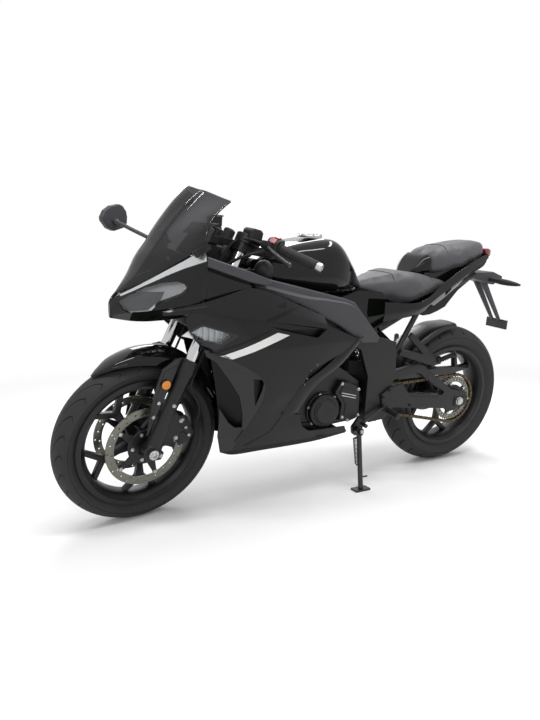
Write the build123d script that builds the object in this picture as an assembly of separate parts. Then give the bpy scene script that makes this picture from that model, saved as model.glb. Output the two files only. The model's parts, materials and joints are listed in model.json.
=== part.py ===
from build123d import *
import os
from math import asin, cos, degrees, pi, radians, sin, sqrt, tan

# Full-faired sport motorcycle parked on its side stand.
# Pieces are drawn upright with the steering straight: x forward from the rear axle, y to the left,
# z up from the road. The front end is then steered, the whole machine leaned onto its stand and
# the origin moved to the middle of the footprint.

# Stance
WHEELBASE = 1380.0
RAKE = 25.0
TRAIL = 95.0
LEAN = 8.0
STEER_AT_REST = 10.0

# Fits and walls
SEAT_GAP = 0.3
RUN_GAP = 1.0
PAD_GAP = 5.0
WALL = 4.0

# Tyres and rims
FRONT_TYRE_R = 293.0
FRONT_TYRE_W = 110.0
FRONT_CROWN_R = 62.0
FRONT_RIM_W = 88.0
REAR_TYRE_R = 314.0
REAR_TYRE_W = 140.0
REAR_CROWN_R = 82.0
REAR_RIM_W = 114.0
FRONT_TYRE_H = 76.0
REAR_TYRE_H = 97.0
FLANGE_H = 14.0
FLANGE_T = 6.0
WELL_DEPTH = 18.0
WELL_HALF = 18.0
BARREL_T = 7.0
HUB_R = 44.0
SPOKE_COUNT = 5
SPOKE_HALF_T = 12.0
SPOKE_ROOT_HALF = 17.0
SPOKE_FORK_IN = 95.0
SPOKE_CROTCH_IN = 67.0
SPOKE_SPREAD = 17.0
SPOKE_TIP = 2.6

# Axles, discs, sprockets and chain
AXLE_R = 10.0
NUT_R = 17.0
NUT_T = 14.0
DISC_IN = 77.0
DISC_BAND = 29.0
DISC_T = 4.5
FRONT_DISC_Y = 60.0
CALIPER_OUT_Y = 88.0
HOSE_R = 4.0
HOSE_GAP = 7.0
CARRIER_R = 62.0
CARRIER_BORE_R = 32.0
CARRIER_ARM_W = 16.0
REAR_DISC_IN = 107.0
REAR_DISC_Y = -78.0
CHAIN_PITCH = 15.875
CHAIN_Y = 84.0
CHAIN_W = 17.0
CHAIN_HALF_H = 7.5
CHAIN_WAIST = 2.0
REAR_TEETH = 43
DRIVE_TEETH = 14
DRIVE_X = 545.0
DRIVE_Z = 372.0
SPROCKET_T = 6.0

# Fork and steering head, measured up the steering axis from the road
FORK_Y = 97.0
SLIDER_R = 26.0
COLLAR_R = 31.0
STANCHION_R = 20.5
SLIDER_TOP = 640.0
COLLAR_H = 46.0
LOWER_YOKE_AT = 735.0
UPPER_YOKE_AT = 1030.0
YOKE_T = 30.0
FORK_TOP = 1085.0
STEM_R = 17.0
HEAD_R = 31.0
GUSSET_HALF = 56.0
BAR_AT = 1080.0
STEER_LOCK = 25.0

# Side stand, in the parked stance for the foot
STAND_PIVOT = Vector(535, 134, 248)
STAND_BACK = Vector(-0.99, 0.05, -0.12)
STAND_IN_Y = 104.0
STAND_EYE_R = 17.0
STAND_EYE_T = 22.0
STAND_PIN_R = 6.0
STAND_FOLD = 95.0
STAND_FOOT_X = 552.0
STAND_FOOT_Y = 202.0
STAND_FOOT_T = 8.0
STAND_LEG_R = 10.0

# Holes for things that bolt on
PLATE_X = -318.0
PLATE_Z = 625.0
PLATE_BOLTS = 80.0
PLATE_BOLT_R = 3.2
MIRROR_BOLT_R = 3.25
MIRROR_BOLT_REACH = 19.0
BOSS_MID = Vector(1229, 0, 953)
BOSS_RUN = Vector(0.85, 0, -0.527)
BOSS_OUT_Y = 224.0

# Engine, tank and seats
MUFFLER_FROM = Vector(286, -196, 334)
ENGINE_HALF_W = 118.0
CYLINDER_HALF_W = 100.0
FRAME_IN_Y = 128.0
ARM_CROSS_Z = 395.0
SHOCK_X = 562.0
SHOCK_Z = 658.0
SHOCK_EYE_R = 14.0
CROSS_R = 13.0
RAIL_R = 11.0
FRAME_OUT_Y = 152.0
ARM_IN_Y = 102.0
ARM_OUT_Y = 124.0
CAP_X = 735.0
CAP_Z = 994.0
CAP_R = 46.0
CAP_T = 10.0

RAKE_RAD = radians(RAKE)
STEER_UP = Vector(-sin(RAKE_RAD), 0, cos(RAKE_RAD))
STEER_FWD = Vector(cos(RAKE_RAD), 0, sin(RAKE_RAD))
STEER_FOOT = Vector(WHEELBASE + TRAIL, 0, 0)
STEER_AXIS = Axis(STEER_FOOT, STEER_UP)
FORK_OFFSET = FRONT_TYRE_R * sin(RAKE_RAD) - TRAIL * cos(RAKE_RAD)
AXLE_AT = FRONT_TYRE_R * cos(RAKE_RAD) + TRAIL * sin(RAKE_RAD)
FRONT_BEAD_R = FRONT_TYRE_R - FRONT_TYRE_H
REAR_BEAD_R = REAR_TYRE_R - REAR_TYRE_H
DISC_R = FRONT_BEAD_R - DISC_IN
REAR_DISC_R = REAR_BEAD_R - REAR_DISC_IN
REAR_AXLE = Vector(0, 0, REAR_TYRE_R)
FRONT_AXLE = Vector(WHEELBASE, 0, FRONT_TYRE_R)


# Where a point of the fork lies: forward of the steering axis, to the left, and up the axis.
def fork_point(forward, left, up):
    return STEER_FOOT + STEER_FWD * forward + Vector(0, left, 0) + STEER_UP * up


# A plate whose outline is drawn in side view, filling y_in to y_out.
def plate(outline, y_in, y_out):
    sketch = Plane.XZ.offset(-y_out) * Polygon(*outline, align=None)
    return extrude(sketch, y_out - y_in, dir=(0, -1, 0))


# The same in the fork's own slant, the outline given forward of and up the steering axis.
def fork_plate(outline, y_in, y_out):
    sketch = Plane(STEER_FOOT + Vector(0, y_out, 0), x_dir=STEER_FWD, z_dir=(0, -1, 0))
    return extrude(sketch * Polygon(*outline, align=None), y_out - y_in, dir=(0, -1, 0))


def rod(start, end, radius):
    start = Vector(*start)
    run = Vector(*end) - start
    return extrude(Plane(start, z_dir=run) * Circle(radius), run.length)


def cross_rod(x, z, y_in, y_out, radius):
    return rod((x, y_in, z), (x, y_out, z), radius)


def pipe(points, radius, bend):
    path = FilletPolyline(*points, radius=bend)
    return sweep(Plane(path @ 0, z_dir=path % 0) * Circle(radius), path=path)


# A solid block with rounded corners through sections across the machine.
def rounded_body(rows):
    sections = []
    for x, half_width, low, high, corner in rows:
        outline = RectangleRounded(2 * half_width, high - low, corner)
        sections.append(Plane.YZ.offset(x) * Pos(0, (low + high) / 2) * outline)
    return loft(sections)


# The line shifted sideways to the right of its run by a wall.
def inset(line, wall):
    shifted = []
    for at, point in enumerate(line):
        before = Vector(*line[max(at - 1, 0)])
        after = Vector(*line[min(at + 1, len(line) - 1)])
        here = Vector(*point)
        run_in = (here - before).normalized() if at else (after - here).normalized()
        run_out = (after - here).normalized() if at < len(line) - 1 else run_in
        mean = (run_in + run_out).normalized()
        reach = wall / max(mean.dot(run_in), 0.5)
        shifted.append((here.X + mean.Y * reach, here.Y - mean.X * reach))
    return shifted


# A thin panel through open outlines on parallel planes, its wall on the inner side.
def panel(base, rows, wall=WALL):
    sections = []
    for at, line in rows:
        sections.append(base.offset(at) * Polygon(*line, *reversed(inset(line, wall)), align=None))
    return loft(sections, ruled=True)


def mirrored(shape):
    return mirror(shape, about=Plane.XZ)


def both_sides(shape):
    return shape + mirrored(shape)


def ring(outer, inner, y_mid, thick):
    flat = Circle(outer) - Circle(inner)
    return Pos(0, y_mid + thick / 2, 0) * extrude(Plane.XZ * flat, thick)


def polar(radius, angle):
    return (radius * cos(radians(angle)), radius * sin(radians(angle)))


def tyre(radius, width, crown, rim_width, bead):
    shoulder_r = radius - crown + sqrt(crown**2 - (width / 2) ** 2)
    bead_r = bead + SEAT_GAP
    bead_y = rim_width / 2 - FLANGE_T - SEAT_GAP
    lip_r = bead + FLANGE_H + 2
    wall_r = (lip_r + shoulder_r) / 2
    wall_y = (bead_y + width / 2) / 2 + 5
    side = [(bead_r, bead_y), (lip_r, bead_y), (wall_r, wall_y), (shoulder_r, width / 2)]
    far = [(r, -y) for r, y in reversed(side)]
    edge = Polyline(*side) + ThreePointArc(side[-1], (radius, 0), far[0]) + Polyline(*far)
    edge += Line(far[-1], side[0])
    return revolve(make_face(edge), Axis.Y)


def rim(rim_width, hub_half, bead):
    flange_r = bead + FLANGE_H
    well_r = bead - WELL_DEPTH
    edge_y = rim_width / 2
    seat_y = edge_y - FLANGE_T
    ramp_y = WELL_HALF + 8
    inner_r = well_r - BARREL_T
    half = [(inner_r, WELL_HALF), (bead - BARREL_T, edge_y), (flange_r, edge_y), (flange_r, seat_y)]
    half += [(bead, seat_y), (bead, ramp_y), (well_r, WELL_HALF)]
    loop = half + [(r, -y) for r, y in reversed(half)]
    barrel = revolve(make_face(Polyline(*loop, close=True)), Axis.Y)
    reach = inner_r + BARREL_T / 2
    outer = SPOKE_SPREAD + SPOKE_TIP
    inner = SPOKE_SPREAD - SPOKE_TIP
    upper = [polar(reach, inner), polar(reach, outer), (bead - SPOKE_FORK_IN, SPOKE_ROOT_HALF * 0.75)]
    upper.append((HUB_R * 0.8, SPOKE_ROOT_HALF))
    outline = [(bead - SPOKE_CROTCH_IN, 0)] + upper + [(x, -z) for x, z in reversed(upper)]
    spoke = plate(outline, -SPOKE_HALF_T, SPOKE_HALF_T)
    hub = cross_rod(0, 0, -hub_half, hub_half, HUB_R)
    wheel = barrel + hub
    for at in range(SPOKE_COUNT):
        wheel += Rot(0, 90 + at * 360 / SPOKE_COUNT, 0) * spoke
    return wheel - cross_rod(0, 0, -2 * hub_half, 2 * hub_half, AXLE_R + RUN_GAP)


def disc(radius, y_mid):
    band = ring(radius, radius - DISC_BAND, y_mid, DISC_T)
    middle = ring(CARRIER_R, CARRIER_BORE_R, y_mid, DISC_T)
    half = CARRIER_ARM_W / 2
    arm = plate([(CARRIER_R - 3, -half), (radius - DISC_BAND + 2, -half),
                 (radius - DISC_BAND + 2, half), (CARRIER_R - 3, half)],
                y_mid - DISC_T / 2, y_mid + DISC_T / 2)
    for at in range(SPOKE_COUNT):
        middle += Rot(0, 36 + at * 360 / SPOKE_COUNT, 0) * arm
    return band + middle


# How far a leaned tyre reaches down from its centre.
def tyre_drop(axle, radius, crown):
    return (radius - crown) * sqrt(1 - axle.Z**2) + crown


def moved(location, point):
    return (location * Pos(*point)).position


# Steered stance of the front end, and the parked stance: lean left, then pitch onto both tyres.
LEFTWARD = Vector(0, 1, 0)
STEER_TURN = Pos(*STEER_FOOT) * Location((0, 0, 0), STEER_UP, STEER_AT_REST) * Pos(*(-STEER_FOOT))
front_centre = moved(STEER_TURN, FRONT_AXLE)
front_side = moved(STEER_TURN, FRONT_AXLE + LEFTWARD)
pitch = 0.0
for settle in range(4):
    stance = Rot(0, pitch, 0) * Rot(-LEAN, 0, 0)
    rear_at = moved(stance, REAR_AXLE)
    rear_axis = moved(stance, REAR_AXLE + LEFTWARD) - rear_at
    front_at = moved(stance, front_centre)
    front_axis = moved(stance, front_side) - front_at
    rear_low = rear_at.Z - tyre_drop(rear_axis, REAR_TYRE_R, REAR_CROWN_R)
    front_low = front_at.Z - tyre_drop(front_axis, FRONT_TYRE_R, FRONT_CROWN_R)
    pitch += degrees(asin((front_low - rear_low) / WHEELBASE))
PARK = Pos(0, 0, -rear_low) * stance

pieces = {}
steered = {}

# Wheels
FRONT_HUB_HALF = FRONT_DISC_Y - DISC_T / 2 - SEAT_GAP
REAR_HUB_HALF = abs(REAR_DISC_Y) - DISC_T / 2 - SEAT_GAP
AT_REAR = Pos(*REAR_AXLE)
AT_FRONT = Pos(*FRONT_AXLE)
steered["front_tyre"] = AT_FRONT * tyre(FRONT_TYRE_R, FRONT_TYRE_W, FRONT_CROWN_R, FRONT_RIM_W, FRONT_BEAD_R)
steered["front_rim"] = AT_FRONT * rim(FRONT_RIM_W, FRONT_HUB_HALF, FRONT_BEAD_R)
steered["front_discs"] = AT_FRONT * both_sides(disc(DISC_R, FRONT_DISC_Y))
pieces["rear_tyre"] = AT_REAR * tyre(REAR_TYRE_R, REAR_TYRE_W, REAR_CROWN_R, REAR_RIM_W, REAR_BEAD_R)
pieces["rear_rim"] = AT_REAR * rim(REAR_RIM_W, REAR_HUB_HALF, REAR_BEAD_R)
pieces["rear_disc"] = AT_REAR * disc(REAR_DISC_R, REAR_DISC_Y)

# Sprocket and chain
REAR_PITCH_R = CHAIN_PITCH / (2 * sin(pi / REAR_TEETH))
DRIVE_PITCH_R = CHAIN_PITCH / (2 * sin(pi / DRIVE_TEETH))
SPROCKET_R = REAR_PITCH_R - CHAIN_HALF_H - RUN_GAP
sprocket = ring(SPROCKET_R, SPROCKET_R - 24, CHAIN_Y, SPROCKET_T)
sprocket += ring(CARRIER_R, CARRIER_BORE_R, CHAIN_Y, SPROCKET_T)
for at in range(SPOKE_COUNT):
    sprocket += Rot(0, at * 360 / SPOKE_COUNT, 0) * plate(
        [(CARRIER_R - 3, -14), (SPROCKET_R - 22, -10), (SPROCKET_R - 22, 10), (CARRIER_R - 3, 14)],
        CHAIN_Y - SPROCKET_T / 2, CHAIN_Y + SPROCKET_T / 2)
carrier_in = REAR_HUB_HALF + SEAT_GAP
sprocket += ring(HUB_R - 2, CARRIER_BORE_R, (carrier_in + CHAIN_Y) / 2, CHAIN_Y - carrier_in)
pieces["rear_sprocket"] = AT_REAR * sprocket


# The chain's centre line round both sprockets, as points a pitch apart with their outward directions.
def chain_line():
    run = Vector(DRIVE_X, 0, DRIVE_Z) - REAR_AXLE
    slope = degrees(asin(run.Z / run.length))
    splay = degrees(asin((REAR_PITCH_R - DRIVE_PITCH_R) / run.length))
    straight = run.length * cos(radians(splay))
    rear_arc = REAR_PITCH_R * radians(180 + 2 * splay)
    drive_arc = DRIVE_PITCH_R * radians(180 - 2 * splay)
    total = 2 * straight + rear_arc + drive_arc
    links = 2 * round(total / CHAIN_PITCH / 2)
    top = slope + 90 - splay
    low = slope - 90 + splay
    points = []
    for half_link in range(2 * links):
        along = half_link * total / (2 * links)
        if along < straight:
            x, z = polar(DRIVE_PITCH_R, top)
            back = polar(along, slope - splay)
            points.append((DRIVE_X + x - back[0], DRIVE_Z + z - back[1], top))
        elif along < straight + rear_arc:
            angle = top + degrees((along - straight) / REAR_PITCH_R)
            x, z = polar(REAR_PITCH_R, angle)
            points.append((x, REAR_TYRE_R + z, angle))
        elif along < 2 * straight + rear_arc:
            x, z = polar(REAR_PITCH_R, low)
            ahead = polar(along - straight - rear_arc, slope + splay)
            points.append((x + ahead[0], REAR_TYRE_R + z + ahead[1], low))
        else:
            angle = low + degrees((along - 2 * straight - rear_arc) / DRIVE_PITCH_R)
            x, z = polar(DRIVE_PITCH_R, angle)
            points.append((DRIVE_X + x, DRIVE_Z + z, angle))
    return points


outer_edge = []
inner_edge = []
for at, (x, z, angle) in enumerate(chain_line()):
    half = CHAIN_HALF_H - CHAIN_WAIST * (at % 2)
    out_x, out_z = polar(half, angle)
    outer_edge.append((x + out_x, z + out_z))
    inner_edge.append((x - out_x, z - out_z))
chain_in, chain_out = CHAIN_Y - CHAIN_W / 2, CHAIN_Y + CHAIN_W / 2
pieces["drive_chain"] = plate(outer_edge, chain_in, chain_out) - plate(inner_edge, chain_in, chain_out)
drive_sprocket = cross_rod(DRIVE_X, DRIVE_Z, CHAIN_Y - SPROCKET_T / 2, CHAIN_Y + SPROCKET_T / 2,
                           DRIVE_PITCH_R - CHAIN_HALF_H - SEAT_GAP)

# Axles
axle_half = ARM_OUT_Y + SEAT_GAP
rear_axle = cross_rod(0, 0, -axle_half - NUT_T, axle_half + NUT_T, AXLE_R)
rear_nut = cross_rod(0, 0, axle_half, axle_half + NUT_T, NUT_R)
pieces["rear_axle"] = AT_REAR * (rear_axle + both_sides(rear_nut))
front_half = FORK_Y + SLIDER_R + 1
front_axle = cross_rod(0, 0, -front_half - NUT_T, front_half + NUT_T, AXLE_R)
front_nut = cross_rod(0, 0, front_half, front_half + NUT_T, NUT_R)
steered["front_axle"] = AT_FRONT * (front_axle + both_sides(front_nut))

# Fork legs: slider, collar, bright upper tube and the lug round the axle
leg_profile = [(0, AXLE_AT - 22), (SLIDER_R, AXLE_AT - 22), (SLIDER_R, SLIDER_TOP - COLLAR_H - 10),
               (COLLAR_R, SLIDER_TOP - COLLAR_H), (COLLAR_R, SLIDER_TOP), (STANCHION_R, SLIDER_TOP),
               (STANCHION_R, FORK_TOP), (0, FORK_TOP)]
leg_plane = Plane(fork_point(FORK_OFFSET, FORK_Y, 0), x_dir=(0, 1, 0), z_dir=STEER_FWD)
leg = revolve(leg_plane * make_face(Polyline(*leg_profile, close=True)),
              Axis(fork_point(FORK_OFFSET, FORK_Y, 0), STEER_UP))
leg += AT_FRONT * cross_rod(0, 0, FORK_Y - SLIDER_R + 1, FORK_Y + SLIDER_R - 1, SLIDER_R + 4)
leg += fork_plate([(FORK_OFFSET, AXLE_AT + 150), (FORK_OFFSET - 62, AXLE_AT + 130),
                   (FORK_OFFSET - 80, AXLE_AT + 60), (FORK_OFFSET, AXLE_AT + 30)], CALIPER_OUT_Y + SEAT_GAP, FORK_Y)
leg -= AT_FRONT * cross_rod(0, 0, 0, 2 * FORK_Y, AXLE_R + SEAT_GAP)
leg -= AT_FRONT * cross_rod(0, 0, FORK_Y + SLIDER_R - 1, FORK_Y + 2 * SLIDER_R, NUT_R + 4)
steered["fork_legs"] = both_sides(leg)

# Yokes and stem
def yoke(up):
    sketch = Plane(STEER_FOOT + STEER_UP * up, x_dir=STEER_FWD, z_dir=STEER_UP)
    reach = FORK_Y + STANCHION_R + 14
    outline = [(-40, 30), (-40, -30), (FORK_OFFSET - 28, -reach), (FORK_OFFSET + 26, -reach),
               (FORK_OFFSET + 34, 0), (FORK_OFFSET + 26, reach), (FORK_OFFSET - 28, reach)]
    holes = Pos(FORK_OFFSET, FORK_Y) * Circle(STANCHION_R + SEAT_GAP)
    holes += Pos(FORK_OFFSET, -FORK_Y) * Circle(STANCHION_R + SEAT_GAP)
    return extrude(sketch * (Polygon(*outline, align=None) - holes), YOKE_T)


yokes = yoke(LOWER_YOKE_AT) + yoke(UPPER_YOKE_AT)
yokes += rod(fork_point(0, 0, LOWER_YOKE_AT), fork_point(0, 0, UPPER_YOKE_AT + YOKE_T + 8), STEM_R)
steered["yokes"] = yokes

# Clip-on bars with their grips
clamp_low = UPPER_YOKE_AT + YOKE_T + SEAT_GAP
grip_in = fork_point(-22, 222, BAR_AT + 6)
grip_out = fork_point(-86, 338, BAR_AT - 2)
bar_run = (grip_out - grip_in).normalized()
clamp = rod(fork_point(FORK_OFFSET, FORK_Y, clamp_low), fork_point(FORK_OFFSET, FORK_Y, FORK_TOP + 6), STANCHION_R + 13)
bar = clamp + rod(fork_point(FORK_OFFSET - 20, FORK_Y + 12, BAR_AT + 4), grip_in, 11)
bar += rod(grip_in, grip_out, 16.5)
bar += rod(grip_out, grip_out + bar_run * 18, 14)
bar -= rod(fork_point(FORK_OFFSET, FORK_Y, clamp_low - 5), fork_point(FORK_OFFSET, FORK_Y, FORK_TOP + SEAT_GAP),
           STANCHION_R + SEAT_GAP)

# Levers
lever_root = fork_point(22, 205, BAR_AT - 4)
lever = pipe([lever_root, fork_point(34, 240, BAR_AT - 16), fork_point(2, 316, BAR_AT - 40)], 6, 20)
lever += rod(fork_point(2, 316, BAR_AT - 40), fork_point(0, 322, BAR_AT - 42), 9)
lever += rod(fork_point(22, 205, BAR_AT - 16), fork_point(22, 205, BAR_AT + 8), 14)
lever += rod(lever_root, fork_point(-3, 189, BAR_AT), 9)
steered["handlebars"] = both_sides(bar + lever)

# Front calipers
caliper_angle = 158.0
caliper_w = 2 * (CALIPER_OUT_Y - FRONT_DISC_Y)
caliper = Pos(DISC_R - 8, 0, 0) * Box(70, caliper_w, 112)
caliper -= Pos(DISC_R + PAD_GAP - 50, 0, 0) * Box(100, DISC_T + 2 * PAD_GAP, 120)
caliper = Pos(0, FRONT_DISC_Y, 0) * Rot(0, -caliper_angle, 0) * caliper
steered["front_calipers"] = AT_FRONT * both_sides(caliper)

# Brake hoses from the calipers up to the lower yoke
hose = pipe([fork_point(-96, 84, AXLE_AT + 142), fork_point(-92, 84, AXLE_AT + 190),
             fork_point(FORK_OFFSET - COLLAR_R - HOSE_GAP, FORK_Y - 6, SLIDER_TOP - 50),
             fork_point(FORK_OFFSET - COLLAR_R - HOSE_GAP, FORK_Y - 6, LOWER_YOKE_AT - SEAT_GAP)], HOSE_R, 25)
steered["brake_hoses"] = both_sides(hose)

# Front fender between the legs, with a blade before each leg
fender_rows = [
    # angle round the axle, crest over the tyre, half width, low edge over the tyre
    (60, 11, 14, 6),
    (74, 26, 50, 8),
    (90, 41, 63, -1),
    (108, 53, 67, -7),
    (128, 41, 67, -3),
    (152, 20, 60, -7),
]
fender_sections = []
for angle, over, half, under in fender_rows:
    crest = FRONT_TYRE_R + over
    low = FRONT_TYRE_R + under
    plane = Plane(FRONT_AXLE, x_dir=(0, 1, 0), z_dir=(sin(radians(angle)), 0, -cos(radians(angle))))
    shoulder = crest - (crest - low) * 0.2
    line = [(-half, low), (-half * 0.8, shoulder), (0, crest), (half * 0.8, shoulder), (half, low)]
    fender_sections.append(plane * Polygon(*line, *reversed(inset(line, WALL)), align=None))
blade_gap = COLLAR_R + SEAT_GAP
blade = fork_plate([(FORK_OFFSET + blade_gap, 640), (FORK_OFFSET + 84, 580), (FORK_OFFSET + 64, 460),
                    (FORK_OFFSET + blade_gap + 4, 350), (FORK_OFFSET + blade_gap, 356)], FORK_Y - 6, FORK_Y)
steered["front_fender"] = loft(fender_sections, ruled=True) + both_sides(blade)
reflector = rod(fork_point(FORK_OFFSET + 50, FORK_Y + SEAT_GAP, 536), fork_point(FORK_OFFSET + 50, FORK_Y + 9, 536), 17)
steered["fork_reflectors"] = both_sides(reflector)

# Main frame: head tube, spars and pivot plates
head_low = LOWER_YOKE_AT + YOKE_T + RUN_GAP
head_high = UPPER_YOKE_AT - RUN_GAP
head = rod(fork_point(0, 0, head_low), fork_point(0, 0, head_high), HEAD_R)
head -= rod(fork_point(0, 0, head_low - 5), fork_point(0, 0, head_high + 5), STEM_R + RUN_GAP)
gusset = plate([(1098, 770), (1048, 880), (1000, 842), (985, 842), (985, 740), (1040, 730)], -GUSSET_HALF, GUSSET_HALF)
gusset += plate([(1006, 740), (1006, 842), (985, 842), (985, 740)], -FRAME_IN_Y - 5, FRAME_IN_Y + 5)
gusset -= rod(fork_point(0, 0, head_low - 200), fork_point(0, 0, head_high + 50), HEAD_R - 2)
gusset &= plate([(1090, 700), (1090, 900), (900, 900), (900, 700)], -FRAME_OUT_Y, FRAME_OUT_Y)
spar = plate([(1040, 735), (1050, 850), (1000, 856.3), (640, 767.3), (500, 637), (405, 610), (392, 470), (425, 400),
              (405, 318), (430, 296), (505, 290), (528, 330), (528, 480), (570, 590), (700, 660)],
             FRAME_IN_Y, FRAME_OUT_Y)
pivot = cross_rod(440, 372, -FRAME_OUT_Y, FRAME_OUT_Y, 13)
foot_top = moved(PARK.inverse(), (STAND_FOOT_X, STAND_FOOT_Y, STAND_FOOT_T))
stand_run = (foot_top - STAND_PIVOT).normalized()
stand_axis = stand_run.cross(STAND_BACK).normalized()
lug = plate([(470, 290), (528, 300), (528, 360), (470, 360)], STAND_IN_Y, FRAME_OUT_Y)
lug += plate([(480, 300), (528, 300), (556, 262), (552, 234), (518, 230)], STAND_IN_Y, STAND_IN_Y + 12)
lug += rod(STAND_PIVOT - stand_axis * 26, STAND_PIVOT - stand_axis * (STAND_EYE_T / 2 + RUN_GAP), STAND_EYE_R)
lug += rod(STAND_PIVOT - stand_axis * 26, STAND_PIVOT + stand_axis * (STAND_EYE_T / 2 + RUN_GAP + 8), STAND_PIN_R)
lug += rod(STAND_PIVOT + stand_axis * (STAND_EYE_T / 2 + RUN_GAP),
           STAND_PIVOT + stand_axis * (STAND_EYE_T / 2 + RUN_GAP + 8), STAND_PIN_R + 5)
stay_end = Vector(1200, 0, 919)
stay = rod(fork_point(HEAD_R - 4, 0, 900), stay_end, 9)
stay += both_sides(rod(stay_end - Vector(14, 0, 18), (1238, 205.4, 850), 7))
cross_tube = cross_rod(SHOCK_X, SHOCK_Z, -FRAME_IN_Y - 5, FRAME_IN_Y + 5, CROSS_R)
main_frame = head + gusset + both_sides(spar) + lug + stay + cross_tube
pieces["main_frame"] = main_frame + pivot

# Subframe rails
rail_y = FRAME_IN_Y - RAIL_R - SEAT_GAP
rail = pipe([(470, rail_y, 655), (300, rail_y - 4, 734), (-60, 62, 860)], RAIL_R, 60)
brace = rod((400, rail_y, 512), (270, rail_y, 744), RAIL_R)
post = rod((330, 98, 718), (330, 98, 770.6), 12) + rod((60, 62, 815), (60, 62, 875), 12)
post += cross_rod(165, 781, 90, 114.6, 6)
pieces["subframe_rails"] = both_sides(rail + brace + post)

# Engine
crankcase = plate([(545, 300), (545, 455), (640, 520), (730, 560), (880, 490), (900, 350), (830, 300), (600, 300)],
                  -ENGINE_HALF_W, ENGINE_HALF_W)
cylinder = plate([(650, 500), (730, 730), (880, 680), (880, 470), (700, 470)], -CYLINDER_HALF_W, CYLINDER_HALF_W)
engine = crankcase + cylinder
engine -= cross_rod(DRIVE_X, DRIVE_Z, CHAIN_Y - CHAIN_W / 2 - 6, CHAIN_Y + CHAIN_W / 2 + 6, DRIVE_PITCH_R + 22)
engine -= plate([(545, DRIVE_Z - 70), (545, DRIVE_Z + 60), (500, DRIVE_Z + 60), (500, DRIVE_Z - 70)],
                CHAIN_Y - CHAIN_W / 2 - 6, CHAIN_Y + CHAIN_W / 2 + 6)
engine += cross_rod(DRIVE_X, DRIVE_Z, CHAIN_Y - CHAIN_W / 2 - 8, CHAIN_Y + CHAIN_W / 2 + 8, 12)
engine += plate([(570, 428), (512, 431), (512, 459), (570, 474)], -60, 60)
engine += cross_rod(512, 445, SEAT_GAP - FRAME_IN_Y, FRAME_IN_Y - SEAT_GAP, 14)
engine += cross_rod(840, 702, SEAT_GAP - FRAME_IN_Y, FRAME_IN_Y - SEAT_GAP, 14)
pieces["engine_block"] = engine + drive_sprocket
cover_in = ENGINE_HALF_W + SEAT_GAP
generator = cross_rod(708, 358, cover_in, cover_in + 34, 66) + cross_rod(708, 358, cover_in, cover_in + 40, 40)
sprocket_cover = plate([(548, 318), (556, 440), (640, 470), (668, 426), (634, 380), (640, 318), (600, 300)],
                       cover_in, cover_in + 26)
clutch_cover = mirrored(cross_rod(640, 370, cover_in, cover_in + 24, 70))
pieces["engine_covers"] = generator + sprocket_cover + clutch_cover

# Radiator
radiator = Pos(1010, 0, 560) * Rot(0, -18, 0) * Box(34, 300, 250)
hanger_y = (FRAME_IN_Y + FRAME_OUT_Y) / 2
pieces["radiator"] = radiator + both_sides(rod((985, hanger_y, 640), (985, hanger_y, 720.8), 8))

# Exhaust: header pipes, collector and muffler on the right
header = pipe([(888.4, 55, 580), (960, 55, 530), (930, 45, 310), (800, 10, 274), (600, -20, 272)], 15, 55)
header_far = pipe([(888.4, -55, 580), (960, -55, 530), (930, -50, 310), (800, -36, 274), (600, -50, 272)], 15, 55)
outlet = pipe([(640, -35, 276), (530, -60, 274), (440, -190, 268), tuple(MUFFLER_FROM)], 20, 55)
pieces["exhaust_pipes"] = header + header_far + outlet
muffler_run = (MUFFLER_FROM - Vector(440, -190, 268)).normalized()
muffler_plane = Plane(MUFFLER_FROM + muffler_run * SEAT_GAP, x_dir=(0, 1, 0), z_dir=muffler_run)
muffler_rows = [(0, 25, 25), (60, 46, 56), (330, 50, 64), (380, 36, 46)]
muffler_sections = [muffler_plane.offset(at) * Ellipse(wide, tall) for at, wide, tall in muffler_rows]
pieces["muffler"] = loft(muffler_sections, ruled=True)

# Swingarm
arm_end = REAR_TYRE_R
arm_outline = [(462, 338), (462, 462), (420, 474), (258, 502), (225, 494), (50, arm_end + 58), (-46, arm_end + 34),
               (-52, arm_end - 18), (-20, arm_end - 34), (60, arm_end - 30)]
arm_window = [(416, 402), (416, 436), (256, 464), (238, 458), (92, arm_end + 50), (100, arm_end + 38)]
arm = plate(arm_outline, ARM_IN_Y, ARM_OUT_Y) - plate(arm_window, 0, 200)
arm -= AT_REAR * cross_rod(0, 0, 0, 200, AXLE_R + SEAT_GAP)
arm -= cross_rod(440, 372, 0, 200, 13 + SEAT_GAP)
arms = both_sides(arm)
arms += plate([(462, 346), (462, ARM_CROSS_Z), (380, ARM_CROSS_Z), (380, 346)], -ARM_IN_Y, ARM_IN_Y) - cross_rod(440, 372, -200, 200, 13 + SEAT_GAP)
pieces["swingarm"] = arms

# Rear shock
shock_top = Vector(SHOCK_X, 0, SHOCK_Z - SHOCK_EYE_R - CROSS_R - SEAT_GAP)
shock_low = Vector(424, 0, ARM_CROSS_Z + SHOCK_EYE_R + SEAT_GAP)
shock_run = shock_low - shock_top
shock = rod(shock_top, shock_low, 11) + rod(shock_top + shock_run * 0.14, shock_low - shock_run * 0.2, 28)
for eye in (shock_top, shock_low):
    shock += cross_rod(eye.X, eye.Z, -16, 16, SHOCK_EYE_R)
pieces["rear_shock"] = shock

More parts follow.
